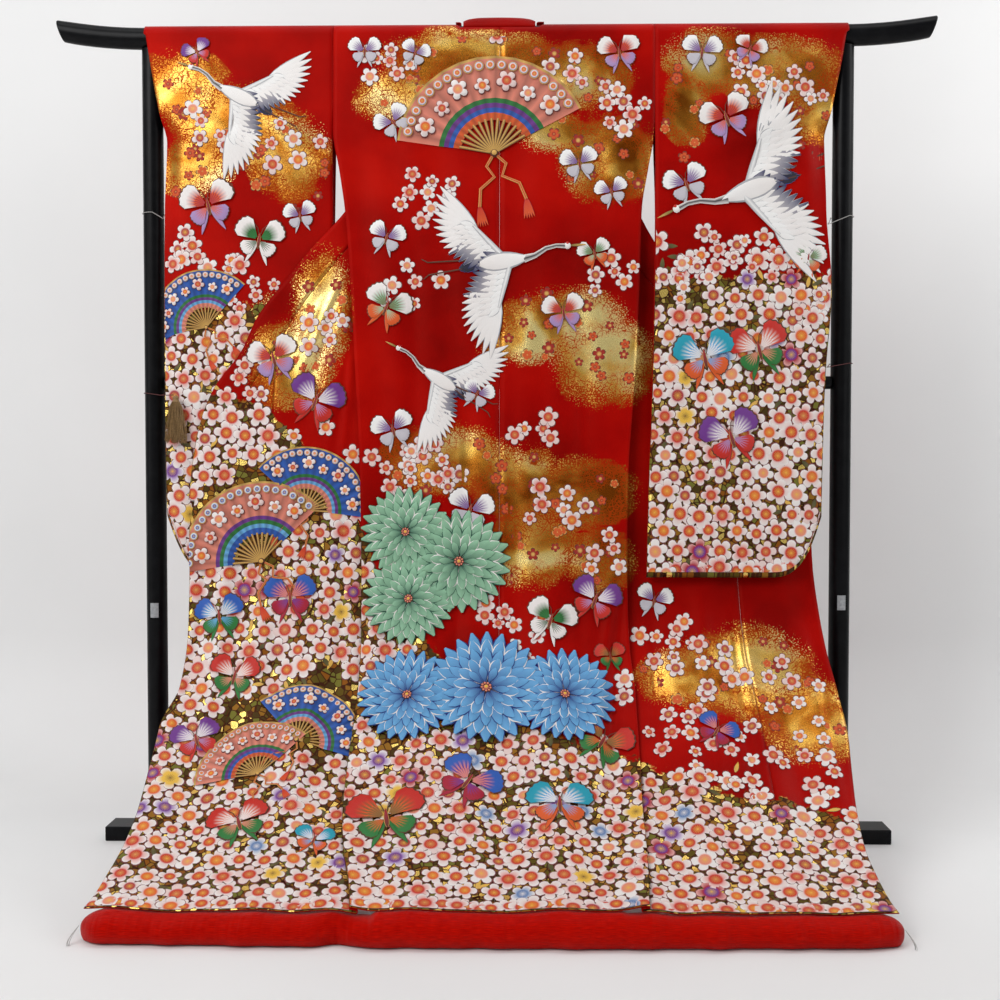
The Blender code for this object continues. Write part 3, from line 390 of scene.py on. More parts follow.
def tuck_gap(side, z):
    return TUCK_GAP_LEFT + 0 * z if side == "left" else GAP_RIGHT(z)


# Shares of a ridge's length over which it fades in and out
FADE_IN = 0.2
FADE_OUT = 0.25


def line_height(rows, x, z):
    """Height of soft ridges that run along straight lines."""
    height = 0.0
    for row in rows:
        x1, z1, x2, z2, width, rise = row
        run_x, run_z = x2 - x1, z2 - z1
        share = np.clip(((x - x1) * run_x + (z - z1) * run_z) / (run_x ** 2 + run_z ** 2), 0.0, 1.0)
        apart = np.hypot(x - x1 - share * run_x, z - z1 - share * run_z)
        faded = rise * ease(share / FADE_IN) * ease((1.0 - share) / FADE_OUT)
        height = height + faded * np.exp(-((apart / width) ** 2))
    return height


def fold_depth(x, z):
    """How far folds and creases push the curtain away from the viewer."""
    depth = line_height(CREASES, x, z) * (1.0 + 1.1 * ease((z - 0.13) / 0.06))
    for fold in FOLDS:
        strength = ease((fold.z_high - z) / (fold.z_high - fold.z_low))
        middle = fold.x_high + (fold.x_low - fold.x_high) * strength
        to_hem = 1.0 - (1.0 - fold.at_hem) * ease((0.15 - z) / 0.09)
        depth = depth + fold.depth * strength * to_hem * np.exp(-(((x - middle) / fold.width) ** 2))
    ripple = 0.0017 * np.sin(x * 47.0 + 1.3 * np.sin(z * 7.0)) + 0.0011 * np.sin(x * 83.0 + z * 9.0)
    return depth + ripple * ease((1.45 - z) / 0.2) * ease((z - HEM_Z) / 0.05)


def curtain(x, z, behind=0.0):
    """Points of the curtain at x and level z, moved behind the back's wall."""
    x, z, behind = np.broadcast_arrays(np.asarray(x, float), np.asarray(z, float), np.asarray(behind, float))
    step = 0.004
    rise = np.minimum(z + step, TOP_Z) - np.maximum(z - step, HEM_Z)
    slope = (CURTAIN_Y(z + step) - CURTAIN_Y(z - step)) / rise
    length = np.hypot(slope, 1.0)
    rear_y, rear_z = 1.0 / length, -slope / length
    depth = behind + fold_depth(x, z)
    bow = HEM_BOW * (x / 0.6) ** 2 * ease((0.20 - z) / 0.14)
    return np.stack([x, CURTAIN_Y(z) + bow + rear_y * depth, z + rear_z * depth], axis=-1)


def over_bar(x, angle, side_of_bar, above=0.0):
    """Points of the cloth over the bar, at an angle from its crown."""
    x, angle, above = np.broadcast_arrays(*(np.asarray(value, float) for value in (x, angle, above)))
    y = (ARCH_DEPTH + above) * np.sin(angle) * side_of_bar
    return np.stack([x, y, BAR_Z + (ARCH_HEIGHT + above) * np.cos(angle)], axis=-1)


def front_base(z):
    """How far the fronts start behind the back."""
    return np.where(z > 1.206, SHOULDER(z), LAYER)


def front_behind(side, x, z):
    """How far the turned-out front lies behind the back at a distance x from the middle."""
    seam = EDGES[side]["side"](z)
    outer = EDGES[side]["front"](z)
    gap = tuck_gap(side, z)
    lay_back = np.where(z < 0.80, LAY_BACK[side](z) - LAYER, gap)
    share = ease((x - seam) / np.maximum(outer - seam, 0.001))
    return front_base(z) + gap + (lay_back - gap) * share


def front_lift(side, x, z):
    """How far gathers raise the left front towards the viewer."""
    if side == "right":
        return 0.0 * x
    to_edge = ease((EDGES[side]["front"](z) - x - 0.02) / 0.05)
    return to_edge * (line_height(LEFT_FRONT_GATHERS, -x, z) + line_height(GATHERS_LEFT, -x, z))


def edge_behind(side, z):
    """How far a front's outer edge, okumi and collar lie behind the back."""
    upper = np.where(z > 1.206, SHOULDER(z), LAYER) + tuck_gap(side, z)
    return np.where(z >= 0.80, upper, LAY_BACK[side](z))


def sleeve_curve(side, name):
    return smooth_curve([(row.z, getattr(row, name)) for row in SLEEVE_ROWS[side]])


SLEEVE = {
    side: {name: sleeve_curve(side, name) for name in ("front", "rear", "inner", "outer")} for side in SIDES
}


def sleeve_bottom(share):
    return SLEEVE_BOTTOM + SLEEVE_CORNER * np.maximum(0.0, (share - 0.70) / 0.30) ** 3.2


def sewn(share):
    """How far a sleeve's layers have come together: 0 inside, 1 at the sewn outer edge."""
    return ease((share - 0.88) / 0.12)


def sleeve_layer(side, share, z, which):
    """Points of a sleeve's front (-1) or rear (1) layer at a share of its width."""
    share, z = np.broadcast_arrays(np.asarray(share, float), np.asarray(z, float))
    edge = SLEEVE[side]
    middle = (edge["front"](z) + edge["rear"](z)) / 2
    half = (edge["rear"](z) - edge["front"](z)) / 2
    closed = sewn(share) * ease((CUFF_Z + CUFF_CLOSING - z) / CUFF_CLOSING)
    half = half + (SLEEVE_SEAM_DEPTH - half) * closed
    x = edge["inner"](z) + (edge["outer"](z) - edge["inner"](z)) * share
    y = middle + half * which
    if which < 0:
        rise = line_height(SLEEVE_RIDGES[side] + SLEEVE_CREASES[side], SIGN[side] * x, z)
        y = y - rise * (1 - closed)
    return np.stack([SIGN[side] * x, y, z], axis=-1)


# Gold mist clouds: place on the cloth as distance from the centre seam and down from the bar
Cloud = namedtuple("Cloud", "x v rx rv")
CURTAIN_CLOUDS = table(
    Cloud,
    (-0.06, 0.085, 0.150, 0.062),
    (0.12, 0.115, 0.120, 0.055),
    (-0.19, 0.150, 0.075, 0.050),
    (0.21, 0.270, 0.085, 0.080),
    (0.10, 0.220, 0.060, 0.035),
    (0.12, 0.580, 0.110, 0.055),
    (0.20, 0.655, 0.090, 0.075),
    (0.04, 0.620, 0.070, 0.035),
    (-0.10, 0.840, 0.110, 0.060),
    (0.03, 0.880, 0.080, 0.065),
    (0.15, 0.900, 0.100, 0.055),
    (0.06, 1.000, 0.075, 0.070),
    (0.19, 1.030, 0.060, 0.050),
    (0.34, 1.245, 0.080, 0.050),
    (0.45, 1.235, 0.120, 0.080),
    (0.57, 1.330, 0.090, 0.075),
    (-0.335, 0.560, 0.050, 0.110),
    (-0.395, 0.660, 0.075, 0.075),
    (-0.480, 0.810, 0.050, 0.050),
)
SLEEVE_CLOUDS = {
    "left": table(
        Cloud,
        (0.600, 0.130, 0.080, 0.060),
        (0.510, 0.200, 0.110, 0.065),
        (0.400, 0.260, 0.070, 0.075),
        (0.580, 0.280, 0.070, 0.055),
        (0.420, 0.620, 0.100, 0.080),
    ),
    "right": table(
        Cloud,
        (0.400, 0.085, 0.080, 0.055),
        (0.530, 0.110, 0.110, 0.060),
        (0.600, 0.190, 0.060, 0.050),
        (0.350, 0.180, 0.040, 0.060),
    ),
}
# Upper edge of the dense flower bed, as distance from the centre seam and level
BED_TOP = smooth_curve([
    (-0.64, 0.80), (-0.56, 0.86), (-0.47, 0.85), (-0.38, 0.78), (-0.29, 0.68), (-0.21, 0.50), (-0.13, 0.40),
    (-0.04, 0.33), (0.11, 0.25), (0.26, 0.215), (0.40, 0.175), (0.53, 0.160), (0.63, 0.125),
])
SLEEVE_BED_TOP = {"left": 1.03, "right": 1.085}
CLOUD_SPREAD = 1.22


def cloud_mask(rows, x, v):
    """1 well inside a gold cloud, 0 outside."""
    best = 0.0 * x
    for row in rows:
        inside = 1.0 - np.hypot((x - row.x) / row.rx, (v - row.v) / row.rv) / CLOUD_SPREAD
        best = np.maximum(best, inside)
    return np.clip(best * 1.9, 0.0, 1.0)


def curtain_bed(x, z):
    return ease((BED_TOP(x) - z) / 0.09 + 0.5)


def sleeve_bed(side, z):
    return ease((SLEEVE_BED_TOP[side] - z) / 0.16 + 0.5)


# --- finishes ---------------------------------------------------------------


class Nodes:
    """A short way to build a material's node tree."""

    def __init__(self, name):
        self.material = bpy.data.materials.new(name)
        self.material.use_nodes = True
        self.tree = self.material.node_tree
        self.shader = self.tree.nodes["Principled BSDF"]

    def add(self, kind, values=(), **settings):
        node = self.tree.nodes.new("ShaderNode" + kind)
        for key, value in settings.items():
            setattr(node, key, value)
        for key, value in dict(values).items():
            self.put(node.inputs[key], value)
        return node

    def put(self, socket, value):
        if isinstance(value, bpy.types.NodeSocket):
            self.tree.links.new(value, socket)
        else:
            socket.default_value = value

    def math(self, operation, *values):
        node = self.add("Math", operation=operation)
        for socket, value in zip(node.inputs, values):
            self.put(socket, value)
        return node.outputs[0]

    def mix(self, factor, first, second, blend="MIX"):
        node = self.add("Mix", data_type="RGBA", blend_type=blend)
        self.put(node.inputs["Factor"], factor)
        self.put(node.inputs[6], first)
        self.put(node.inputs[7], second)
        return node.outputs[2]

    def blend_value(self, factor, first, second):
        node = self.add("Mix", data_type="FLOAT")
        self.put(node.inputs["Factor"], factor)
        self.put(node.inputs[2], first)
        self.put(node.inputs[3], second)
        return node.outputs[0]

    def ramp(self, factor, stops, interpolation="LINEAR"):
        node = self.add("ValToRGB", {"Fac": factor})
        ramp = node.color_ramp
        ramp.interpolation = interpolation
        while len(ramp.elements) < len(stops):
            ramp.elements.new(1.0)
        for element, (position, colour) in zip(ramp.elements, stops):
            element.position = position
            element.color = (*colour, 1.0)
        return node.outputs["Color"]

    def noise(self, place, scale, detail, **more):
        values = {"Vector": place, "Scale": scale, "Detail": detail, **more}
        return self.add("TexNoise", values).outputs["Fac"]

    def step(self, value, low, high):
        limits = {"Value": value, "From Min": low, "From Max": high}
        node = self.add("MapRange", limits, interpolation_type="SMOOTHSTEP")
        return node.outputs["Result"]

    def set(self, **values):
        for key, value in values.items():
            self.put(self.shader.inputs[key.replace("_", " ")], value)

    def bump(self, height, distance, strength=1.0):
        node = self.add("Bump", {"Height": height, "Distance": distance, "Strength": strength})
        self.put(self.shader.inputs["Normal"], node.outputs["Normal"])


RED = (0.345, 0.0012, 0.0008)
RED_DEEP = (0.21, 0.0006, 0.0006)
RED_BRIGHT = (0.50, 0.0045, 0.0015)
EMBER = (0.34, 0.050, 0.003)
GOLD_SHADES = [
    (0.36, (0.24, 0.055, 0.004)), (0.46, (0.50, 0.19, 0.020)), (0.54, (0.80, 0.46, 0.085)),
    (0.66, (1.0, 0.80, 0.32)),
]
LEAF_SHADES = [
    (0.0, (0.100, 0.075, 0.012)), (0.20, (0.27, 0.13, 0.020)), (0.38, (0.86, 0.62, 0.16)),
    (0.58, (0.060, 0.042, 0.012)), (0.72, (0.24, 0.085, 0.012)), (0.86, (0.16, 0.16, 0.030)),
]
HEM_RED = (0.54, 0.0012, 0.0006)
HEM_BRIGHT = (0.78, 0.0080, 0.0015)
SATIN_GLOSS = {"Specular_IOR_Level": 0.16, "Specular_Tint": (1.0, 0.22, 0.14, 1.0)}
LEAF_RIM = (0.045, 0.016, 0.008)
HEM_GLOSS = {"Specular_IOR_Level": 0.14, "Specular_Tint": (1.0, 0.20, 0.12, 1.0)}


def stretched_noise(n, coordinates, scale, detail):
    """Noise drawn out into streaks: scale along and across the cloth."""
    place = n.add("Mapping", {"Vector": coordinates, "Scale": scale}).outputs["Vector"]
    return n.noise(place, 1.0, detail)


def cross_threads(n, coordinates, fine):
    threads = {"Vector": coordinates, "Scale": fine, "Distortion": 1.2, "Detail": 2.0}
    return n.add("TexWave", threads, bands_direction="Y")


def satin(n, coordinates, fine):
    """Woven satin: a faint damask change of shade, cross threads and soft streaks."""
    broad = n.noise(coordinates, 5.0, 4.0)
    shade = n.ramp(broad, [(0.30, RED_DEEP), (0.52, RED), (0.78, RED_BRIGHT)])
    weave = cross_threads(n, coordinates, fine)
    return n.mix(0.10, shade, weave.outputs["Color"], "OVERLAY"), weave.outputs["Fac"]


def patterned_silk():
    """Red satin with lame clouds and the leafy ground of the flower beds."""
    n = Nodes("patterned_silk")
    cloth = n.add("UVMap", uv_map="cloth").outputs["UV"]
    ground, weave = satin(n, cloth, 420.0)
    mist = n.add("Attribute", attribute_name="mist").outputs["Fac"]
    bed = n.add("Attribute", attribute_name="bed").outputs["Fac"]
    wide = n.noise(cloth, 12.0, 2.0)
    lobes = n.noise(cloth, 36.0, 4.0, Roughness=0.6)
    sparkle = n.noise(cloth, 330.0, 2.0)
    edge = n.math("MULTIPLY_ADD", wide, 1.5, n.math("SUBTRACT", mist, 0.75))
    edge = n.math("MULTIPLY_ADD", lobes, 0.8, n.math("SUBTRACT", edge, 0.40))
    inside = n.step(mist, 0.0, 0.05)
    grain = n.math("MULTIPLY_ADD", edge, 0.30, sparkle)
    flecks = n.step(grain, 0.58, 0.67)
    drawn = n.add("TexVoronoi", {"Vector": cloth, "Scale": 105.0}, feature="DISTANCE_TO_EDGE")
    fine = n.add("TexVoronoi", {"Vector": cloth, "Scale": 250.0}, feature="DISTANCE_TO_EDGE")
    wide_lines = n.step(drawn.outputs["Distance"], 0.02, 0.07)
    lines = n.math("MINIMUM", wide_lines, n.step(fine.outputs["Distance"], -0.03, 0.09))
    solid = n.math("MAXIMUM", lines, n.step(edge, 0.75, 1.1))
    lame = n.math("MULTIPLY", n.math("MULTIPLY", flecks, inside), solid)
    broad = n.noise(cloth, 7.0, 3.0, Distortion=0.6)
    gold = n.ramp(broad, GOLD_SHADES)
    veil = n.math("MULTIPLY", inside, n.step(edge, 0.02, 0.30))
    colour = n.mix(n.math("MULTIPLY", veil, 0.70), ground, (*EMBER, 1.0))
    colour = n.mix(lame, colour, gold)
    cells = {"Vector": cloth, "Scale": 86.0, "Randomness": 0.9}
    leaf = n.add("TexVoronoi", cells)
    rim = n.add("TexVoronoi", cells, feature="DISTANCE_TO_EDGE")
    pick = n.add("SeparateColor", {"Color": leaf.outputs["Color"]}).outputs["Red"]
    leaves = n.ramp(pick, LEAF_SHADES, "CONSTANT")
    leaves = n.mix(n.step(rim.outputs["Distance"], 0.10, 0.04), leaves, (*LEAF_RIM, 1.0))
    bed_edge = n.math("ADD", bed, n.math("MULTIPLY", n.math("SUBTRACT", lobes, 0.5), 0.9))
    planted = n.step(bed_edge, 0.52, 0.62)
    colour = n.mix(planted, colour, leaves)
    gilt = n.math("MULTIPLY", planted, n.math("MULTIPLY", n.step(pick, 0.38, 0.39), n.step(pick, 0.58, 0.57)))
    metal = n.math("MAXIMUM", n.math("MULTIPLY", lame, n.math("SUBTRACT", 1.0, planted)), gilt)
    n.set(Base_Color=colour, Metallic=n.math("MULTIPLY", metal, 0.85))
    n.set(Roughness=n.blend_value(metal, n.blend_value(sparkle, 0.38, 0.50), 0.27))
    n.set(Anisotropic=0.3, **SATIN_GLOSS)
    relief = n.math("MULTIPLY_ADD", sparkle, 0.55, n.math("MULTIPLY", weave, 0.25))
    n.bump(relief, 0.0004, 0.5)
    return n.material


def lining_silk():
    n = Nodes("lining_silk")
    cloth = n.add("UVMap", uv_map="cloth").outputs["UV"]
    ground, weave = satin(n, cloth, 520.0)
    n.set(Base_Color=ground, Roughness=0.5, **SATIN_GLOSS)
    n.bump(weave, 0.0003, 0.4)
    return n.material


def hem_silk():
    n = Nodes("hem_silk")
    cloth = n.add("UVMap", uv_map="cloth").outputs["UV"]
    weave = cross_threads(n, cloth, 300.0).outputs["Fac"]
    slub = stretched_noise(n, cloth, (60.0, 900.0, 1.0), 3.0)
    colour = n.mix(n.step(slub, 0.35, 0.70), (*HEM_RED, 1.0), (*HEM_BRIGHT, 1.0))
    n.set(Base_Color=colour, Roughness=0.40, Anisotropic=0.35, **HEM_GLOSS)
    pucker = stretched_noise(n, cloth, (70.0, 9.0, 1.0), 2.0)
    relief = n.math("MULTIPLY_ADD", pucker, 6.0, n.math("ADD", weave, slub))
    n.bump(relief, 0.0010, 0.8)
    return n.material


def lacquer():
    """Black lacquer, a little dusty and rubbed."""
    n = Nodes("black_lacquer")
    place = n.add("TexCoord").outputs["Object"]
    dust = n.noise(place, 38.0, 6.0, Roughness=0.7)
    wear = n.noise(place, 4.0, 3.0)
    shade = n.ramp(dust, [(0.35, (0.0015, 0.0015, 0.002)), (0.80, (0.007, 0.007, 0.008))])
    n.set(Base_Color=shade)
    n.set(Roughness=n.blend_value(wear, 0.24, 0.42), Specular_IOR_Level=0.12)
    n.bump(dust, 0.0003, 0.25)
    return n.material


def plain(name, colour, darker, roughness, scale=220.0):
    """A plain finish with fine grain."""
    n = Nodes(name)
    place = n.add("TexCoord").outputs["Object"]
    grain = n.noise(place, scale, 4.0)
    n.set(Base_Color=n.ramp(grain, [(0.3, darker), (0.7, colour)]))
    n.set(Roughness=n.blend_value(grain, roughness, roughness + 0.15))
    n.bump(grain, 0.0004, 0.5)
    return n.material


SILK = patterned_silk()
LINING = lining_silk()
HEM_SILK = hem_silk()
LACQUER = lacquer()
PLATE = plain("grey_plate", (0.40, 0.41, 0.42), (0.25, 0.26, 0.27), 0.45)
THREAD = plain("tan_thread", (0.40, 0.24, 0.09), (0.10, 0.055, 0.018), 0.55, 900.0)
STRING_GREY = plain("grey_string", (0.42, 0.40, 0.38), (0.26, 0.25, 0.24), 0.75, 900.0)
STRING_DARK = plain("dark_string", (0.12, 0.02, 0.02), (0.05, 0.01, 0.01), 0.75, 900.0)


# --- making pieces ----------------------------------------------------------


def linked(name, data):
    """A new object in the scene."""
    made = bpy.data.objects.new(name, data)
    bpy.context.scene.collection.objects.link(made)
    return made


def smooth_mesh(name, points, faces, materials):
    """A new object with a smooth mesh."""
    mesh = bpy.data.meshes.new(name)
    mesh.from_pydata(np.asarray(points, float).tolist(), [], [tuple(int(i) for i in face) for face in faces])
    for material in materials:
        mesh.materials.append(material)
    mesh.shade_smooth()
    return linked(name, mesh)


def piece(name, points, faces, materials, nodes, slot, sharp=40):
    """A named piece that rides on the stand and stands for its nodes."""
    made = smooth_mesh(name, points, faces, materials)
    made.data.set_sharp_from_angle(angle=math.radians(sharp))
    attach(made, ROOT)
    if nodes:
        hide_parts(*nodes)
    return made


def grid_faces(rows, columns, flip=False, loop=False):
    """Quads of a grid, closed round its columns with loop."""
    r, c = np.meshgrid(np.arange(rows - 1), np.arange(columns if loop else columns - 1), indexing="ij")
    n = (c + 1) % columns
    low, high = r * columns, (r + 1) * columns
    quads = np.stack([low + c, low + n, high + n, high + c], axis=-1).reshape(-1, 4)
    return quads[:, ::-1] if flip else quads


def ring_angles(count):
    return 2 * math.pi * np.arange(count) / count


def tube_faces(stations, sides):
    """Faces of a tube of rings, closed at both ends."""
    last = (stations - 1) * sides
    caps = [list(range(sides))[::-1], [last + k for k in range(sides)]]
    return grid_faces(stations, sides, loop=True).tolist() + caps


def dress(made, uv, mist, bed):
    """Cloth coordinates and the cloud and flower-bed masks."""
    mesh = made.data
    corners = np.empty(len(mesh.loops), dtype=np.int32)
    mesh.loops.foreach_get("vertex_index", corners)
    layer = mesh.uv_layers.new(name="cloth")
    layer.data.foreach_set("uv", np.asarray(uv, dtype=np.float32).reshape(-1, 2)[corners].ravel())
    for name, mask in (("mist", mist), ("bed", bed)):
        values = np.asarray(mask, dtype=np.float32).ravel()
        mesh.attributes.new(name, "FLOAT", "POINT").data.foreach_set("value", values)


def thicken(made, thickness):
    """A wall round the middle surface, with lining on its inside and rim."""
    shell = made.modifiers.new("cloth wall", "SOLIDIFY")
    shell.thickness = thickness
    shell.offset = 0.0
    shell.use_rim = True
    shell.material_offset = 1
    shell.material_offset_rim = 1


SHOWN_CLOTH = 0.0019
ROW_STEP = 0.0105
ARCH_ROWS = 10


def cloth_panel(name, grid, z, nodes, thickness, flip):
    """A panel of the curtain from its grid of points."""
    grid = np.asarray(grid)
    rows, columns = grid.shape[:2]
    faces = grid_faces(rows, columns, flip)
    made = piece(name, grid.reshape(-1, 3), faces, [SILK, LINING], nodes, "silk", 60)
    v = np.broadcast_to(np.asarray(z)[:, None], (rows, columns))
    x = grid[:, :, 0]
    level = level_at(v)
    dress(made, np.stack([x + 2.0, v], axis=-1), cloud_mask(CURTAIN_CLOUDS, x, v), curtain_bed(x, level))
    thicken(made, thickness)
    return made


def levels():
    """Even steps down the cloth from the bar to the hem."""
    length = ARC[-1] - along(TOP_Z)
    count = int(length / ROW_STEP)
    return level_at(along(TOP_Z) + length * np.arange(1, count + 1) / count)


def arch_rows(start):
    return start + (math.pi / 2 - start) * np.arange(ARCH_ROWS + 1) / ARCH_ROWS


def back_panel(side):
    sign = SIGN[side]
    inner = [SEAM / 2, 0.012, 0.024, 0.036, 0.048, 0.0615]
    inner += [NECK + NECK_SLOPE * share for share in (0.0, 0.25, 0.5, 0.75, 1.0)]
    share = np.arange(1, 29) / 28

    def columns(z):
        return np.concatenate([inner, inner[-1] + (EDGES[side]["side"](z) - inner[-1]) * share])

    top = columns(TOP_Z)
    start = np.maximum(0.5 * SEAM / ARCH_DEPTH, NECK_ANGLE * np.minimum(1.0, 1.0 - (top - NECK) / NECK_SLOPE))
    turns = np.arange(ARCH_ROWS + 1)[:, None] / ARCH_ROWS
    angles = start + (math.pi / 2 - start) * turns
    grid = [over_bar(sign * top, angle, -1) for angle in angles]
    v = list(ARCH_LENGTH * np.arange(ARCH_ROWS + 1) / ARCH_ROWS)
    for z in levels():
        grid.append(curtain(sign * columns(z), z))
        v.append(along(z))
    return cloth_panel("back_" + side + "_silk", grid, v, ["back_" + side], SHOWN_CLOTH, side == "right")


def front_columns(side, z):
    """Distances from the middle and depths behind for one row of a front."""
    seam = EDGES[side]["side"](z)
    outer = EDGES[side]["front"](z)
    gap = tuck_gap(side, z)
    radius = gap / 2
    tuck = max(TUCK_LEAST, radius + 0.003, seam - outer + radius + 0.007, (seam - outer + WIDTH(z)) / 2)
    fold = seam - tuck
    turn_x = fold + radius
    near = seam + (turn_x - seam) * np.linspace(0, 1, 6)
    angle = np.radians(np.arange(1, 8) * 22.5)
    bend = min(seam + 0.003, turn_x + 0.5 * (outer - turn_x))
    back = turn_x + (bend - turn_x) * np.linspace(0, 1, 5)
    rest = bend + (outer - bend) * np.linspace(0, 1, 27)[1:]
    x = np.concatenate([near, turn_x - radius * np.sin(angle), back, rest])
    base = front_base(z)
    behind = np.concatenate([
        np.full(6, base), base + radius * (1 - np.cos(angle)), np.full(5, base + gap),
        front_behind(side, rest, z) - front_lift(side, rest, z),
    ])
    return x, behind


def front_panel(side):
    sign = SIGN[side]
    top_x, top_behind = front_columns(side, TOP_Z)
    above = top_behind - front_base(TOP_Z)
    grid = [over_bar(sign * top_x, angle, 1, above) for angle in arch_rows(0.5 * SEAM / ARCH_DEPTH)]
    v = list(ARCH_LENGTH * np.arange(ARCH_ROWS + 1) / ARCH_ROWS)
    for z in levels():
        x, behind = front_columns(side, z)
        grid.append(curtain(sign * x, z, behind))
        v.append(along(z))
    return cloth_panel("front_" + side + "_silk", grid, v, ["front_" + side], SHOWN_CLOTH, side == "right")


def strip_panel(name, side, start, stop, inner, outer, columns, thickness, node):
    """The okumi or a collar half between two edges."""
    sign = SIGN[side]
    rows = [z for z in levels() if stop < z < start - 0.004]
    grid = []
    v = []
    for z in [start] + rows + [stop]:
        low = inner(z)
        x = low + (outer(z) - low) * np.linspace(0, 1, columns)
        grid.append(curtain(sign * x, z, edge_behind(side, z)))
        v.append(along(z))
    return cloth_panel(name, grid, v, [node], thickness, side == "right")


def okumi_panel(side):
    edge = EDGES[side]
    return strip_panel(
        "okumi_" + side + "_silk", side, OKUMI_TOP_Z, HEM_Z,
        lambda z: edge["front"](z) + SEAM, edge["okumi"],
        20, SHOWN_CLOTH, "okumi_" + side,
    )


def collar_half(side):
    edge = EDGES[side]

    def inner(z):
        name = "front" if z > OKUMI_TOP_Z else "okumi"
        return edge[name](z) + (COLLAR_TOP_GAP if z > COLLAR_SEWN_BELOW else SEAM)

    return strip_panel(
        "collar_" + side + "_silk", side, TOP_Z, COLLAR_END_Z, inner, edge["collar"],
        9, COLLAR_CLOTH - 0.0004, "collar_" + side,
    )


def collar_neck():
    """The collar at the back of the neck, laid over the bar."""
    along_x = np.linspace(NECK_ROWS[0].x, NECK_ROWS[-1].x, 29)
    curves = {
        name: smooth_curve([(row.x, getattr(row, name)) for row in NECK_ROWS])
        for name in ("ky", "kz", "my", "mz", "cy", "cz")
    }

    def bent(t, axis, at):
        seam_edge, crown, free_edge = (curves[letter + axis](at) for letter in "kmc")
        return (1 - t) ** 2 * seam_edge + 2 * t * (1 - t) * crown + t * t * free_edge

    grid = []
    for t in np.linspace(0, 1, 16):
        y, z = bent(t, "y", along_x), bent(t, "z", along_x)
        grid.append(np.stack([along_x, y, z], axis=-1))
    grid = grid[::-1]
    down = np.linspace(0.0, 0.09, 16)
    return cloth_panel("collar_neck_silk", grid, down, ["collar_neck"], COLLAR_CLOTH - 0.0004, False)


SLEEVE_SHARES = np.concatenate([np.linspace(0, 0.82, 34), [0.85, 0.88, 0.905, 0.93, 0.95, 0.968, 0.984, 1.0]])
SLEEVE_ROWS_DOWN = 88


def sleeve(side):
    """A hanging sleeve bag, open at the cuff and along the inner edge."""
    sign = SIGN[side]
    edge = SLEEVE[side]
    crown = BAR_Z + ARCH_HEIGHT
    points = []
    v = []
    face_u = []
    turns = math.pi / 2 * np.arange(ARCH_ROWS) / ARCH_ROWS
    upper = np.linspace(TOP_Z, CUFF_Z, 20)
    for share in SLEEVE_SHARES:
        bottom = float(sleeve_bottom(share))
        half = (edge["rear"](bottom) - edge["front"](bottom)) / 2
        half += (SLEEVE_SEAM_DEPTH - half) * sewn(share)
        lowest = bottom + float(half)
        z = np.concatenate([upper, CUFF_Z + (lowest - CUFF_Z) * np.linspace(0, 1, SLEEVE_ROWS_DOWN)[1:]])
        x = sign * (edge["inner"](crown) + (edge["outer"](crown) - edge["inner"](crown)) * share)
        arch = over_bar(x, turns, -1)
        front = sleeve_layer(side, share, z, -1)
        low_front, low_rear = front[-1], sleeve_layer(side, share, lowest, 1)
        angle = np.radians([30, 60, 90, 120, 150])
        middle = (low_front + low_rear) / 2
        reach = np.outer(-np.cos(angle), (low_rear - low_front) / 2)
        under = middle[None, :] + reach - np.outer(np.sin(angle), [0, 0, float(half)])
        rear = sleeve_layer(side, share, z[::-1], 1)
        column_points = np.concatenate([arch, front, under, rear, over_bar(x, turns[:0:-1], 1)])
        points.append(column_points)
        down = np.concatenate([ARCH_LENGTH * np.arange(ARCH_ROWS) / ARCH_ROWS, TOP_Z - z + ARCH_LENGTH])
        last = down[-1]
        v.append(np.concatenate([down, np.full(5, last), down[:0:-1]]))
        face_u.append(np.concatenate([np.zeros(len(down) + 3), np.ones(len(down) + 1)]))
    points = np.array(points)
    v = np.array(v)
    behind = np.array(face_u)
    columns, loop = points.shape[:2]
    faces = grid_faces(columns, loop, flip=side == "left", loop=True).tolist()
    last = (columns - 1) * loop
    first_sewn = ARCH_ROWS + len(upper) - 1
    lowest_front = ARCH_ROWS + len(upper) + SLEEVE_ROWS_DOWN - 2
    for i in range(first_sewn, lowest_front):
        quad = [last + i, last + i + 1, last + loop - i - 1, last + loop - i]
        faces.append(quad if side == "right" else quad[::-1])
    close = [last + i for i in range(lowest_front, lowest_front + 7)]
    faces.append(close if side == "right" else close[::-1])
    name = "sleeve_" + side
    made = piece(name + "_silk", points.reshape(-1, 3), faces, [SILK, LINING], [name], "silk", 60)
    x = np.abs(points[:, :, 0])
    uv = np.stack([x * (1 - 2 * behind) + 5.0 + 3.0 * behind + 1.5 * (sign < 0), v], axis=-1)
    dress(made, uv, cloud_mask(SLEEVE_CLOUDS[side], x, v), sleeve_bed(side, points[:, :, 2]))
    thicken(made, SHOWN_CLOTH)
    return made


# --- embroidery -------------------------------------------------------------

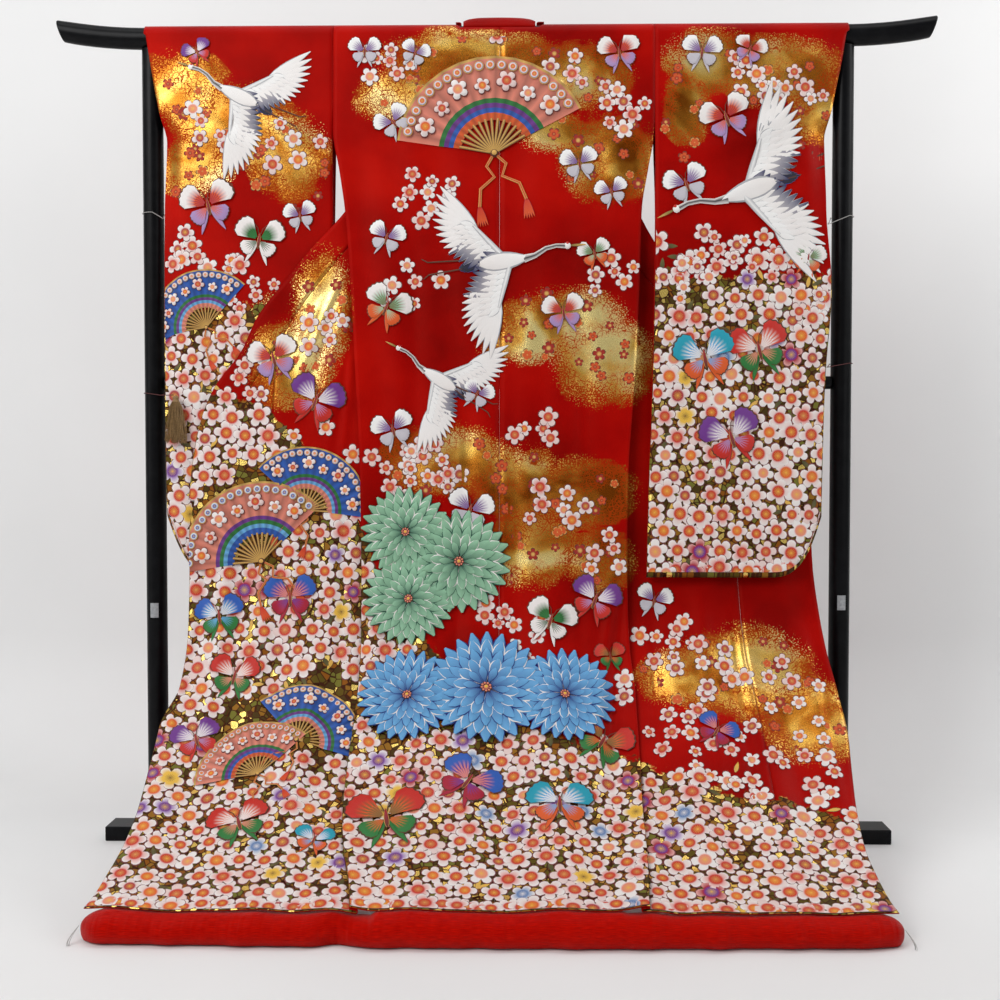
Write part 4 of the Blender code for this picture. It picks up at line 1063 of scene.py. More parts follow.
WHITE = (0.88, 0.83, 0.80)
SNOW = (0.92, 0.91, 0.89)
PALE_PINK = (0.82, 0.64, 0.60)
PINK = (0.80, 0.42, 0.38)
GREY = (0.42, 0.42, 0.44)
SILVER = (0.58, 0.55, 0.60)
LILAC = (0.42, 0.27, 0.52)
VIOLET = (0.16, 0.030, 0.26)
NAVY = (0.010, 0.016, 0.095)
BLUE = (0.020, 0.105, 0.46)
SKY = (0.14, 0.42, 0.74)
TEAL = (0.010, 0.34, 0.46)
GREEN = (0.020, 0.19, 0.035)
MINT = (0.30, 0.56, 0.36)
OLIVE = (0.15, 0.12, 0.025)
ORANGE = (0.74, 0.105, 0.012)
SCARLET = (0.58, 0.018, 0.008)
CRIMSON = (0.40, 0.006, 0.030)
CORAL = (0.80, 0.25, 0.17)
YELLOW = (0.86, 0.52, 0.06)
LAME = (0.72, 0.42, 0.10)
BROWN = (0.10, 0.030, 0.012)
BLACK = (0.012, 0.010, 0.014)


def embroidery():
    """Silk thread: its colour comes from the stitched motif, with fine raised stitches and painted shade that
    darkens the thread in bands along the stitch rows.
    """
    n = Nodes("embroidery_thread")
    colour = n.add("Attribute", attribute_name="thread").outputs["Color"]
    place = n.add("TexCoord").outputs["Object"]
    rows = {"Vector": place, "Scale": 310.0, "Distortion": 3.0, "Detail": 2.0, "Detail Scale": 2.0}
    stitch = n.add("TexWave", rows, bands_direction="DIAGONAL")
    tone = n.noise(place, 160.0, 3.0)
    # painted shade: the wave of the stitch rows darkens the thread colour in bands
    painted_stitch_shade = n.math("MULTIPLY", stitch.outputs["Fac"], 0.16)
    shade = n.mix(painted_stitch_shade, colour, (0.30, 0.20, 0.20, 1.0), "MULTIPLY")
    n.set(Base_Color=n.mix(n.math("MULTIPLY", tone, 0.25), shade, colour))
    n.set(Roughness=n.blend_value(tone, 0.38, 0.60), Specular_IOR_Level=0.4)
    n.bump(stitch.outputs["Fac"], 0.0004, 0.6)
    return n.material


EMBROIDERY = embroidery()
HALF_SHOWN = SHOWN_CLOTH / 2

# A face of the garment that carries embroidery: its limits across at a level, and the
# function that places points on it from the distance across, the level and the height above it
Face = namedtuple("Face", "low high place top bottom")


def outer_edge(side, z):
    edge = EDGES[side]
    limit = np.where(z < OKUMI_TOP_Z, edge["okumi"](z), edge["front"](z))
    return np.where(z > COLLAR_END_Z, edge["collar"](z), limit)


def on_back(x, z, height):
    return curtain(x, z, -HALF_SHOWN - height)


def on_front(side):
    """A function that gives points over a front, its okumi and its collar."""
    def place(x, z, height):
        across = np.abs(x)
        edge = EDGES[side]["front"](z)
        inside = front_behind(side, across, z) - front_lift(side, across, z)
        behind = np.where(across <= edge, inside, edge_behind(side, z))
        collar = 0.0004 * ((across > edge) & (z > COLLAR_END_Z))
        return curtain(x, z, behind - collar - HALF_SHOWN - height)

    return place


def on_sleeve(side, which):
    """A function that gives points over a sleeve's front (-1) or rear (1)."""
    def place(x, z, height):
        edge = SLEEVE[side]
        share = (np.abs(x) - edge["inner"](z)) / (edge["outer"](z) - edge["inner"](z))
        points = sleeve_layer(side, share, z, which)
        points[..., 1] += which * (HALF_SHOWN + height)
        return points

    return place


def limits(side, inner, outer):
    """Lower and upper limit across, from distances from the middle."""
    sign = SIGN[side]
    if sign > 0:
        return inner, outer
    return (lambda z: -outer(z)), (lambda z: -inner(z))


FACE_MARGIN = 0.006
FACES = {
    "back": Face(
        lambda z: -EDGES["left"]["side"](z), EDGES["right"]["side"], on_back, TOP_Z - FACE_MARGIN, HEM_Z,
    ),
}
for SIDE in SIDES:
    LOW, HIGH = limits(SIDE, EDGES[SIDE]["side"], lambda z, side=SIDE: outer_edge(side, z))
    FACES["front_" + SIDE] = Face(LOW, HIGH, on_front(SIDE), 1.14, HEM_Z)
    LOW, HIGH = limits(SIDE, SLEEVE[SIDE]["inner"], SLEEVE[SIDE]["outer"])
    for NAME, WHICH in (("front", -1), ("rear", 1)):
        FACES["sleeve_" + SIDE + "_" + NAME] = Face(
            LOW, HIGH, on_sleeve(SIDE, WHICH), TOP_Z - FACE_MARGIN, SLEEVE_BOTTOM + FACE_MARGIN / 2,
        )


def side_of(name):
    return "left" if "left" in name else "right"


class Stitching:
    """Gathers stitched shapes for one face, then makes them one piece."""

    def __init__(self, face):
        self.face = FACES[face]
        self.name = face
        self.on_curtain = not face.startswith("sleeve")
        self.points, self.height, self.loops, self.sizes, self.colours = [], [], [], [], []
        self.count = 0

    def add(self, shape, x, z, angle=0.0, scale=1.0, lift=0.0, mirror=False):
        flat, height, faces, colours = mirrored(shape) if mirror else shape
        v = along(z) if self.on_curtain else TOP_Z - z
        turn = math.radians(angle)
        a = flat[:, 0] * scale
        b = flat[:, 1] * scale
        across = x + a * math.cos(turn) - b * math.sin(turn)
        down = v - a * math.sin(turn) - b * math.cos(turn)
        self.points.append(np.stack([across, down], axis=-1))
        self.height.append(height * scale + lift)
        for face in faces:
            self.loops.append([self.count + i for i in face])
        self.colours.append(colours)
        self.count += len(flat)

    def make(self, kind):
        if not self.points:
            return
        flat = np.concatenate(self.points)
        height = np.concatenate(self.height)
        z = self.level(flat[:, 1])
        margin = 0.0008
        z = np.clip(z, self.face.bottom + margin, self.face.top)
        if not self.on_curtain:
            z = np.maximum(z, self.corner(flat[:, 0], z))
        x = np.clip(flat[:, 0], self.face.low(z) + margin, self.face.high(z) - margin)
        points = self.face.place(x, z, height)
        made = smooth_mesh(kind + "_" + self.name, points, self.loops, [EMBROIDERY])
        mesh = made.data
        colours = np.concatenate(self.colours)
        rgba = np.concatenate([colours, np.ones((len(colours), 1))], axis=1).astype(np.float32)
        mesh.color_attributes.new("thread", "FLOAT_COLOR", "CORNER").data.foreach_set("color", rgba.ravel())
        normals = np.empty(len(mesh.polygons) * 3, dtype=np.float32)
        mesh.polygons.foreach_get("normal", normals)
        outwards = 1.0 if "rear" in self.name else -1.0
        wrong = [i for i, y in enumerate(normals.reshape(-1, 3)[:, 1]) if y * outwards < 0]
        if len(wrong) > len(mesh.polygons) / 2:
            mesh.flip_normals()
        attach(made, ROOT)

    def level(self, v):
        """Level at a distance down the cloth."""
        return level_at(v) if self.on_curtain else TOP_Z - v

    def corner(self, x, z):
        """The lowest level for stitches above the sleeve's rounded corner."""
        edge = SLEEVE[side_of(self.name)]
        share = np.clip((np.abs(x) - edge["inner"](z)) / (edge["outer"](z) - edge["inner"](z)), 0, 1)
        return sleeve_bottom(share) + 0.010


def mirrored(shape):
    """The same shape turned left for right, with its faces still outwards."""
    flat, height, faces, colours = shape
    order = []
    first = 0
    for face in faces:
        order += list(range(first, first + len(face)))[::-1]
        first += len(face)
    turned = [list(face)[::-1] for face in faces]
    return flat * np.array([-1.0, 1.0]), height, turned, np.asarray(colours)[order]


def shape_of(flat, height, faces, tints):
    """A stitched shape: places, heights, faces and a colour for each corner of each face."""
    return np.array(flat), np.array(height), faces, np.array(tints)


def join(shapes):
    """Several stitched shapes as one."""
    flat, height, faces, colours = [], [], [], []
    count = 0
    for f, h, loops, c in shapes:
        flat.append(f)
        height.append(h)
        faces += [[i + count for i in loop] for loop in loops]
        colours.append(c)
        count += len(f)
    return np.concatenate(flat), np.concatenate(height), faces, np.concatenate(colours)


def moved(shape, scale, place, lift=0.0):
    flat, height, faces, tints = shape
    return flat * scale + np.array(place), height + lift, faces, tints


def layered(parts, lift_of):
    """Parts as one shape, each lifted by its place in the order, so that none cuts another."""
    flat, height, faces, tints = join(parts)
    lift = np.concatenate([np.full(len(part[0]), lift_of(i)) for i, part in enumerate(parts)])
    return flat, height + lift, faces, tints


def radial(rings, outline, colours, dome):
    """A patch of rings round a centre. rings are shares of the outline's radius at each angle.
    colours has the centre's colour, then one for each ring, or a pair that takes turns.
    dome has the height of the centre, then of each ring."""
    count = len(outline)
    angle = ring_angles(count)
    flat = [(0.0, 0.0)]
    height = [dome[0]]
    for r, ring in enumerate(rings):
        radius = np.minimum(np.full(count, ring), outline * 0.95) if ring < 0.9 else outline * ring
        flat += list(zip(radius * np.cos(angle), radius * np.sin(angle)))
        height += [dome[r + 1]] * count
    faces, tints = [], []

    def tint(ring, k):
        value = colours[ring]
        return value[k % 2] if isinstance(value[0], tuple) else value

    for k in range(count):
        n = (k + 1) % count
        faces.append([0, 1 + k, 1 + n])
        tints += [colours[0], tint(1, k), tint(1, n)]
    for r in range(1, len(rings)):
        inner, outer = 1 + (r - 1) * count, 1 + r * count
        last = r == len(rings) - 1
        for k in range(count):
            n = (k + 1) % count
            faces.append([inner + k, outer + k, outer + n, inner + n])
            near = tint(r + 1, k) if last else tint(r, k)
            near_next = tint(r + 1, n) if last else tint(r, n)
            tints += [near, tint(r + 1, k), tint(r + 1, n), near_next]
    return shape_of(flat, height, faces, tints)


PETAL_RIM = np.tile([0.52, 0.84, 0.97, 1.0, 0.97, 0.84], 5)
STITCHED_EDGE = (0.20, 0.045, 0.045)


def blossom(petal, tip, heart, core):
    return radial(
        (0.085, 0.37, 0.50, 0.915, 1.0), PETAL_RIM, (core, (core, heart), heart, petal, tip, STITCHED_EDGE),
        (0.030, 0.030, 0.024, 0.028, 0.018, 0.0),
    )


BLOSSOMS = [
    blossom(PALE_PINK, WHITE, ORANGE, YELLOW), blossom(PALE_PINK, WHITE, SCARLET, YELLOW),
    blossom(PINK, WHITE, SCARLET, LAME), blossom(PALE_PINK, PALE_PINK, SCARLET, LAME),
    blossom(PALE_PINK, WHITE, CRIMSON, YELLOW), blossom(WHITE, WHITE, CORAL, YELLOW),
    blossom(YELLOW, WHITE, YELLOW, BROWN), blossom((0.36, 0.44, 0.60), WHITE, (0.10, 0.20, 0.42), WHITE),
    blossom(LILAC, WHITE, VIOLET, YELLOW), blossom(CRIMSON, PINK, VIOLET, YELLOW),
]
WOVEN_RED = (0.36, 0.012, 0.004)
WOVEN_ORANGE = (0.66, 0.090, 0.010)
WOVEN_RINGS = (0.16, 0.42, 0.60, 0.86, 1.0)
WOVEN_DOME = (0.004,) * 5 + (0.0,)
WOVEN_BLOSSOMS = [
    radial(WOVEN_RINGS, PETAL_RIM, colours, WOVEN_DOME) for colours in (
        (LAME, LAME, WOVEN_RED, WOVEN_RED, WOVEN_RED, BROWN),
        (LAME, WOVEN_ORANGE, WOVEN_ORANGE, WOVEN_ORANGE, LAME, BROWN),
        (LAME, WOVEN_RED, WOVEN_ORANGE, WOVEN_ORANGE, WOVEN_RED, BROWN),
    )
]
BLOSSOM_ODDS = [0.16, 0.34, 0.18, 0.07, 0.08, 0.07, 0.04, 0.02, 0.02, 0.02]


def polar(radius, turn):
    return radius * math.cos(turn), radius * math.sin(turn)


def spun(point, turn, start=(0.0, 0.0)):
    """A point turned about the origin, then moved by start."""
    a, b = point
    return (
        start[0] + a * math.cos(turn) - b * math.sin(turn),
        start[1] + a * math.sin(turn) + b * math.cos(turn),
    )


def feather(root, angle, length, width, base, tip, edge, rise=0.03, steps=6, blunt=0.75):
    """A pointed oval with a raised quill and a thin edge; also a leaf or a petal."""
    s = np.linspace(0, 1, steps + 1)
    half = width / 2 * np.sin(math.pi * np.clip(s, 0.02, 0.985) ** blunt) ** 0.7
    turn = math.radians(angle)
    flat, height = [], []
    for share, w in zip(s, half):
        for across, up in ((-1, 0), (-0.80, 0.5), (0, 1), (0.80, 0.5), (1, 0)):
            flat.append(spun((share * length, across * w), turn, root))
            height.append(up * rise * width)
    base, tip = np.array(base), np.array(tip)
    faces, tints = [], []
    for i in range(steps):
        near, far = base + (tip - base) * s[i], base + (tip - base) * s[i + 1]
        for k in range(4):
            a = i * 5 + k
            faces.append([a, a + 5, a + 6, a + 1])
            tints += [edge] * 4 if k in (0, 3) else [near, far, far, near]
    return shape_of(flat, height, faces, tints)


def ribbon(points, widths, colour, edge=None, rise=0.004):
    """A stitched band along a line."""
    points = np.array(points, float)
    ahead = np.gradient(points, axis=0)
    ahead /= np.linalg.norm(ahead, axis=1, keepdims=True)
    side = np.stack([-ahead[:, 1], ahead[:, 0]], axis=-1)
    flat, height = [], []
    for p, s, w in zip(points, side, widths):
        for across, up in ((-0.5, 0), (0, 1), (0.5, 0)):
            flat.append(p + s * w * across)
            height.append(up * rise)
    faces, tints = [], []
    rim = edge or colour
    for i in range(len(points) - 1):
        for k in range(2):
            a = 3 * i + k
            faces.append([a, a + 3, a + 4, a + 1])
            tints += [rim, rim, colour, colour] if k == 0 else [colour, colour, rim, rim]
    return shape_of(flat, height, faces, tints)


def dot(place, radius, colour, rim, rise=0.01, sides=10):
    disc = radial((0.6, 1.0), np.ones(sides), (colour, colour, rim), (rise, rise, 0.0))
    return moved(disc, radius, place)


def wing(root, angle, reach, spread, vein, field, rim):
    """A rounded wing that opens from its root, with veins, a coloured rim and a fine edge."""
    columns = 13
    turn = np.radians(np.linspace(-spread, spread, columns))
    share = np.linspace(-1, 1, columns)
    length = reach * (1 - 0.22 * np.abs(share) ** 4) * (1 + 0.02 * np.cos(np.arange(columns) * math.pi))
    flat, height = [], []
    for ring, up in ((0.10, 0.02), (0.42, 0.035), (0.74, 0.03), (0.955, 0.02), (1.0, 0.0)):
        for t, r in zip(turn, length):
            flat.append(spun((ring * r, 0.0), t + math.radians(angle), root))
            height.append(up)
    faces, tints = [], []
    for r in range(4):
        for k in range(columns - 1):
            a = r * columns + k
            faces.append([a, a + columns, a + columns + 1, a + 1])
            own, other = (vein, field) if k % 2 else (field, vein)
            tints += ([vein, own, other, own], [own, rim, rim, own], [rim] * 4, [BROWN] * 4)[r]
    return shape_of(flat, height, faces, tints)


def butterfly(vein, field, rim, lower, body=BROWN):
    """Four wings of a generic butterfly with tails, a body and feelers; one unit is half its span."""
    parts = []
    for sign in (-1, 1):
        def turned(angle, side=sign):
            return 90 + side * (angle - 90)

        parts.append(feather((sign * 0.05, -0.08), turned(-66), 0.92, 0.20, lower, lower, BROWN, 0.05))
        parts.append(wing((sign * 0.04, -0.04), turned(-36), 0.72, 31, field, lower, lower))
        parts.append(dot((sign * 0.34, -0.30), 0.06, LAME, lower))
        parts.append(wing((sign * 0.04, 0.02), turned(36), 1.02, 33, vein, field, rim))
        feeler = [(sign * 0.03, 0.20), (sign * 0.10, 0.44), (sign * 0.26, 0.60)]
        parts.append(ribbon(feeler, (0.03, 0.025, 0.03), body))
    parts.append(feather((0, -0.34), 90, 0.62, 0.13, body, CRIMSON, LAME, 0.12))
    return layered(parts, lambda i: 0.0025 * i)


BUTTERFLIES = {
    "orange": butterfly(CRIMSON, ORANGE, WHITE, LILAC),
    "purple": butterfly(WHITE, LILAC, VIOLET, SCARLET),
    "green": butterfly(GREEN, (0.015, 0.085, 0.015), WHITE, WHITE),
    "sky": butterfly(WHITE, SKY, BLUE, GREEN),
    "turquoise": butterfly(WHITE, SKY, TEAL, ORANGE),
    "violet": butterfly(CORAL, VIOLET, BLUE, CRIMSON),
    "red": butterfly(OLIVE, ORANGE, SCARLET, GREEN),
    "leaf": butterfly(WHITE, CORAL, SCARLET, GREEN),
    "silver": butterfly(VIOLET, SILVER, SNOW, SILVER),
    "lime": butterfly(OLIVE, MINT, WHITE, ORANGE),
}


def crane():
    """A flying crane of white feathers; one unit is the length of a wing."""
    parts = []
    for k in range(7):
        length = 0.34 - 0.02 * abs(k - 3)
        parts.append(feather((-0.16, -0.01 + 0.012 * k), 172 + 6 * k, length, 0.085, NAVY, BLACK, BLUE))
    for shift, sign in ((0.0, 1), (0.03, -1)):
        bends = ((-0.20, 0.0), (-0.46, -0.03), (-0.80, -0.05), (-0.86, -0.09))
        legs = [(along_leg, aside * sign + shift) for along_leg, aside in bends]
        parts.append(ribbon(legs, (0.022, 0.016, 0.014, 0.010), BROWN))
    for root, lead, fold in (((0.02, 0.02), 128, 1), ((0.06, 0.0), 250, -1)):
        turn = math.radians(lead)
        bone = np.array(polar(1.0, turn))
        wrist = np.array(root) + 0.44 * bone
        for k in range(10):
            angle = lead + fold * (-4 + 8.5 * k)
            parts.append(feather(wrist - 0.010 * k * bone, angle, 0.60 - 0.022 * k, 0.105, SNOW, WHITE, GREY))
        for k in range(9):
            place = np.array(root) + bone * (0.40 - 0.048 * k)
            edge = NAVY if k > 3 else GREY
            spread = lead + fold * (82 + 2 * k)
            parts.append(feather(place, spread, 0.40 - 0.012 * k, 0.095, WHITE, NAVY, edge))
        for k in range(9):
            place = np.array(root) + bone * (0.48 - 0.052 * k)
            parts.append(feather(place, lead + fold * (50 + 4 * k), 0.25, 0.085, SNOW, WHITE, GREY))
        for k in range(8):
            place = np.array(root) + bone * (0.50 - 0.060 * k)
            parts.append(feather(place, lead + fold * (34 + 4 * k), 0.145, 0.070, SNOW, SNOW, GREY))
        arm = [root, (np.array(root) + wrist) / 2 + 0.01 * bone, wrist + 0.06 * bone]
        parts.append(ribbon(arm, (0.06, 0.055, 0.03), SNOW, GREY, 0.008))
    parts.append(feather((-0.26, 0.0), 2, 0.52, 0.20, WHITE, SNOW, GREY, 0.05, 8))
    for k in range(6):
        parts.append(feather((-0.16 + 0.06 * k, 0.03 * (k % 2) - 0.01), 184, 0.11, 0.055, SNOW, WHITE, GREY))
    neck = [(0.20, 0.01), (0.32, 0.03), (0.44, 0.09), (0.55, 0.11), (0.64, 0.10)]
    parts.append(ribbon(neck, (0.085, 0.055, 0.045, 0.042, 0.05), BLACK, WHITE, 0.010))
    parts.append(dot((0.665, 0.10), 0.036, SNOW, WHITE))
    parts.append(dot((0.668, 0.125), 0.018, SCARLET, SCARLET))
    parts.append(feather((0.690, 0.10), -4, 0.17, 0.028, OLIVE, LAME, BROWN))
    return layered(parts, lambda i: 0.00014 * i)


FAN_BANDS = {
    "warm": (CORAL, GREEN, VIOLET, BLUE, ORANGE),
    "blue": (BLUE, GREEN, VIOLET, SKY, CORAL),
    "coral": (CORAL, VIOLET, GREEN, SKY, BLUE),
}


def folding_fan(bands):
    """An open folding fan: pleated colour bands with painted shade on alternate pleats, a row of ringed
    discs, blossoms, ribs and cords.
    """
    parts = []
    pleats = 26
    angle = np.radians(np.linspace(18, 162, pleats + 1))
    radii = [1.0, 0.975, 0.57, 0.52, 0.47, 0.42, 0.34]
    tints = [LAME] + list(bands)
    flat, height, faces, colours = [], [], [], []
    for radius in radii:
        for k, turn in enumerate(angle):
            flat.append(polar(radius, turn))
            height.append(0.016 if k % 2 else 0.004)
    for ring in range(len(radii) - 1):
        for k in range(pleats):
            a = ring * (pleats + 1) + k
            faces.append([a, a + 1, a + pleats + 2, a + pleats + 1])
            # painted shade: every other pleat takes a darker copy of its band's colour
            dark, light = np.array(tints[ring]) * 0.55, np.array(tints[ring])
            colours += [dark, light, light, dark] if k % 2 else [light, dark, dark, light]
    parts.append(shape_of(flat, height, faces, colours))
    for turn in np.radians(np.linspace(24, 156, 19)):
        colours = (LAME, bands[4], WHITE, bands[3], LAME)
        scale = radial((0.40, 0.66, 0.84, 1.0), np.ones(12), colours, (0.03, 0.03, 0.03, 0.026, 0.02))
        parts.append(moved(scale, 0.050, polar(0.905, turn)))
    for step, turn in enumerate(np.radians(np.linspace(31, 149, 7))):
        place = polar(0.75 - 0.05 * (step % 2), turn)
        flower = BLOSSOMS[(0, 5, 3)[step % 3]]
        parts.append(moved(flower, 0.115 - 0.025 * (step % 2), place, 0.01))
    for turn in np.radians(np.linspace(21, 159, 14)):
        spoke = [polar(r, turn) for r in (0.03, 0.36)]
        parts.append(ribbon(spoke, (0.026, 0.034), LAME, BROWN, 0.012))
    parts.append(dot((0, 0.0), 0.045, LAME, BROWN, 0.03))
    for sign in (-1, 1):
        bends = ((0, 0), (0.10, -0.12), (0.04, -0.24), (0.20, -0.34), (0.24, -0.52))
        cord = [(across * sign, down) for across, down in bends]
        parts.append(ribbon(cord, (0.03,) * 5, SCARLET, LAME, 0.012))
        for k in range(-2, 3):
            parts.append(feather((0.24 * sign, -0.50), 270 + 7 * k, 0.22, 0.035, SCARLET, ORANGE, CRIMSON))
    return layered(parts, lambda i: 0.0 if i == 0 else 0.006)


# Petals in each ring, their length and their width
PETAL_RINGS = ((24, 1.0, 0.26), (21, 0.86, 0.25), (18, 0.70, 0.23), (14, 0.53, 0.21), (10, 0.35, 0.17))


def chrysanthemum(deep, light, heart):
    """A full flower of many narrow petals in rings; one unit is its radius."""
    parts = []
    for ring, (count, length, width) in enumerate(PETAL_RINGS):
        for k in range(count):
            angle = 360 * (k + 0.5 * (ring % 2)) / count
            start = polar(0.05, math.radians(angle))
            edge = WHITE if ring % 2 else deep
            parts.append(feather(start, angle, length, width, deep, light, edge, 0.10, 7, 1.9))
    for k in range(9):
        parts.append(dot(polar(0.075, math.radians(40 * k)), 0.035, heart, BROWN, 0.02, 6))
    parts.append(dot((0, 0), 0.05, YELLOW, heart, 0.03, 8))
    return layered(parts, lambda i: 0.0009 * i)


Butterfly = namedtuple("Butterfly", "x z size angle colour")
BUTTERFLY_PLACES = {
    "sleeve_left_front": table(
        Butterfly,
        (-0.551, 1.215, 0.055, 12, "orange"),
        (-0.455, 1.150, 0.050, -8, "green"),
        (-0.572, 1.505, 0.030, 25, "purple"),
        (-0.377, 1.195, 0.033, 10, "silver"),
    ),
    "front_left": table(
        Butterfly,
        (-0.425, 0.925, 0.050, 15, "orange"),
        (-0.346, 0.845, 0.056, -20, "purple"),
        (-0.390, 0.478, 0.051, 3, "violet"),
        (-0.520, 0.443, 0.048, 10, "sky"),
        (-0.485, 0.340, 0.048, -7, "leaf"),
        (-0.535, 0.240, 0.046, 21, "purple"),
        (-0.430, 0.130, 0.055, 20, "leaf"),
        (-0.300, 0.112, 0.036, -9, "turquoise"),
    ),
    "back": table(
        Butterfly,
        (-0.184, 0.136, 0.070, 10, "red"),
        (-0.050, 0.180, 0.059, -30, "violet"),
        (0.106, 0.150, 0.060, 0, "turquoise"),
        (0.185, 0.240, 0.055, -26, "red"),
        (0.178, 0.474, 0.050, -20, "purple"),
        (0.095, 0.435, 0.050, -17, "green"),
        (-0.042, 0.857, 0.033, -24, "silver"),
        (-0.199, 0.790, 0.042, 16, "silver"),
        (-0.055, 0.640, 0.046, -15, "silver"),
        (0.205, 0.375, 0.030, 10, "red"),
        (-0.212, 1.020, 0.048, -23, "lime"),
        (0.120, 1.010, 0.042, 9, "orange"),
        (0.150, 1.290, 0.038, 10, "silver"),
        (-0.255, 1.505, 0.033, 0, "silver"),
        (0.225, 1.500, 0.042, 9, "orange"),
        (-0.212, 1.150, 0.037, -14, "silver"),
        (0.178, 1.120, 0.033, 14, "lime"),
        (0.210, 1.235, 0.033, 11, "silver"),
        (-0.200, 1.370, 0.037, 33, "silver"),
        (-0.160, 1.500, 0.030, -20, "silver"),
    ),
    "sleeve_right_front": table(
        Butterfly,
        (0.425, 1.375, 0.050, 20, "orange"),
        (0.350, 1.250, 0.044, 20, "silver"),
        (0.383, 0.925, 0.060, 10, "turquoise"),
        (0.484, 0.940, 0.059, 14, "leaf"),
        (0.432, 0.777, 0.059, 16, "purple"),
        (0.380, 1.500, 0.040, -5, "silver"),
        (0.470, 1.505, 0.033, -21, "orange"),
        (0.575, 1.110, 0.036, -12, "lime"),
    ),
    "front_right": table(
        Butterfly,
        (0.388, 0.255, 0.040, -29, "violet"),
        (0.290, 0.475, 0.036, -15, "silver"),
    ),
    "sleeve_left_rear": table(
        Butterfly,
        (-0.480, 1.200, 0.055, 12, "orange"),
        (-0.400, 0.860, 0.055, -18, "turquoise"),
        (-0.540, 0.900, 0.050, 20, "purple"),
    ),
    "sleeve_right_rear": table(
        Butterfly,
        (0.460, 1.250, 0.055, -12, "green"),
        (0.380, 0.850, 0.055, 18, "red"),
        (0.520, 0.760, 0.050, -20, "violet"),
    ),
}
Large = namedtuple("Large", "kind x z size angle mirror")
LARGE_PLACES = {
    "sleeve_left_front": table(
        Large,
        ("crane", -0.495, 1.420, 0.155, -24, True), ("blue", -0.555, 0.985, 0.110, 30, False),
    ),
    "sleeve_right_front": table(Large, ("crane", 0.465, 1.235, 0.205, 22, True)),
    "back": table(
        Large,
        ("warm", -0.010, 1.310, 0.185, 10, False),
        ("crane", 0.010, 1.105, 0.180, 6, False),
        ("crane", -0.115, 0.885, 0.140, -30, True),
        ("jade_flower", -0.175, 0.600, 0.080, 10, False),
        ("jade_flower", -0.075, 0.545, 0.092, 34, False),
        ("jade_flower", -0.168, 0.475, 0.082, 20, False),
        ("blue_flower", -0.165, 0.305, 0.086, 12, False),
        ("blue_flower", 0.120, 0.305, 0.088, 48, False),
        ("blue_flower", -0.022, 0.318, 0.104, 30, False),
    ),
    "front_left": table(
        Large,
        ("blue", -0.365, 0.640, 0.120, -24, False), ("coral", -0.445, 0.545, 0.150, 26, False),
        ("blue", -0.355, 0.235, 0.115, -30, False), ("warm", -0.415, 0.190, 0.110, 28, False),
    ),
    "sleeve_left_rear": table(Large, ("crane", -0.490, 1.430, 0.150, 12, False)),
    "sleeve_right_rear": table(Large, ("crane", 0.470, 1.430, 0.160, -10, True)),
}
Spray = namedtuple("Spray", "x z count spread")
SPRAYS = {
    "back": table(
        Spray,
        (-0.215, 1.480, 7, 0.040), (-0.145, 1.230, 9, 0.050), (0.225, 1.400, 8, 0.045),
        (-0.170, 1.060, 6, 0.050),
        (0.205, 1.080, 6, 0.040), (-0.185, 0.720, 11, 0.060), (-0.120, 0.730, 8, 0.050),
        (0.070, 0.790, 5, 0.035),
        (0.105, 0.640, 7, 0.050), (0.205, 0.560, 5, 0.040), (0.020, 0.420, 12, 0.060),
        (0.215, 0.310, 8, 0.045),
        (0.120, 1.460, 5, 0.045), (-0.010, 1.500, 5, 0.040),
    ),
    "front_left": table(
        Spray,
        (-0.340, 0.980, 6, 0.040), (-0.500, 0.880, 10, 0.060), (-0.330, 0.760, 10, 0.060),
    ),
    "front_right": table(
        Spray,
        (0.310, 0.400, 10, 0.050), (0.400, 0.360, 8, 0.050), (0.520, 0.330, 6, 0.050),
        (0.560, 0.215, 12, 0.055),
        (0.330, 0.245, 10, 0.050), (0.430, 0.215, 10, 0.055),
    ),
    "sleeve_left_front": table(
        Spray,
        (-0.540, 1.370, 8, 0.045), (-0.620, 1.130, 9, 0.040), (-0.560, 1.090, 10, 0.050),
        (-0.400, 1.330, 6, 0.050),
        (-0.480, 1.070, 8, 0.050),
    ),
    "sleeve_right_front": table(
        Spray,
        (0.470, 1.455, 8, 0.045), (0.560, 1.430, 6, 0.040), (0.330, 1.080, 8, 0.045),
        (0.400, 1.120, 10, 0.050),
        (0.500, 1.120, 10, 0.050), (0.590, 1.020, 6, 0.030),
    ),
    "sleeve_left_rear": table(Spray, (-0.500, 1.300, 10, 0.060)),
    "sleeve_right_rear": table(Spray, (0.480, 1.300, 10, 0.060)),
}
LARGE_SHAPES = {
    "crane": crane(),
    "jade_flower": chrysanthemum((0.006, 0.075, 0.045), MINT, CORAL),
    "blue_flower": chrysanthemum((0.008, 0.022, 0.190), SKY, CORAL),
    **{name: folding_fan(bands) for name, bands in FAN_BANDS.items()},
}
SOLID_REACH = {"crane": 0.42, "jade_flower": 0.86, "blue_flower": 0.86}
FAN_REACH = 0.62
DARK_LEAF = (0.06, 0.06, 0.015)
LEAVES = [
    feather((0, 0), 0, 1.0, 0.42, base, tip, BROWN, 0.05, 4)
    for base, tip in ((OLIVE, LAME), (LAME, YELLOW), (DARK_LEAF, OLIVE))
]
# Flower bed: distance between blossoms, share of it between rows, columns to each side of
# the middle, and the last row's height over the lower edge
BED_STEP = 0.0415
BED_ROW = 0.88
BED_COLUMNS = 17
BED_LAST_ROW = 0.011
BLOSSOM_SIZE = 0.0240
# Heights of stitched shapes over the cloth
BLOSSOM_LIFT = 0.0002
BLOSSOM_LIFT_RANGE = 0.0007
MOTIF_LIFT = 0.0014
MOTIF_LIFT_STEP = 0.0004
BUTTERFLY_LIFT = 0.0019
# The right front isn't seen above this level and beyond this distance: the sleeve covers it
COVERED_ABOVE = 0.53
COVERED_BEYOND = 0.30
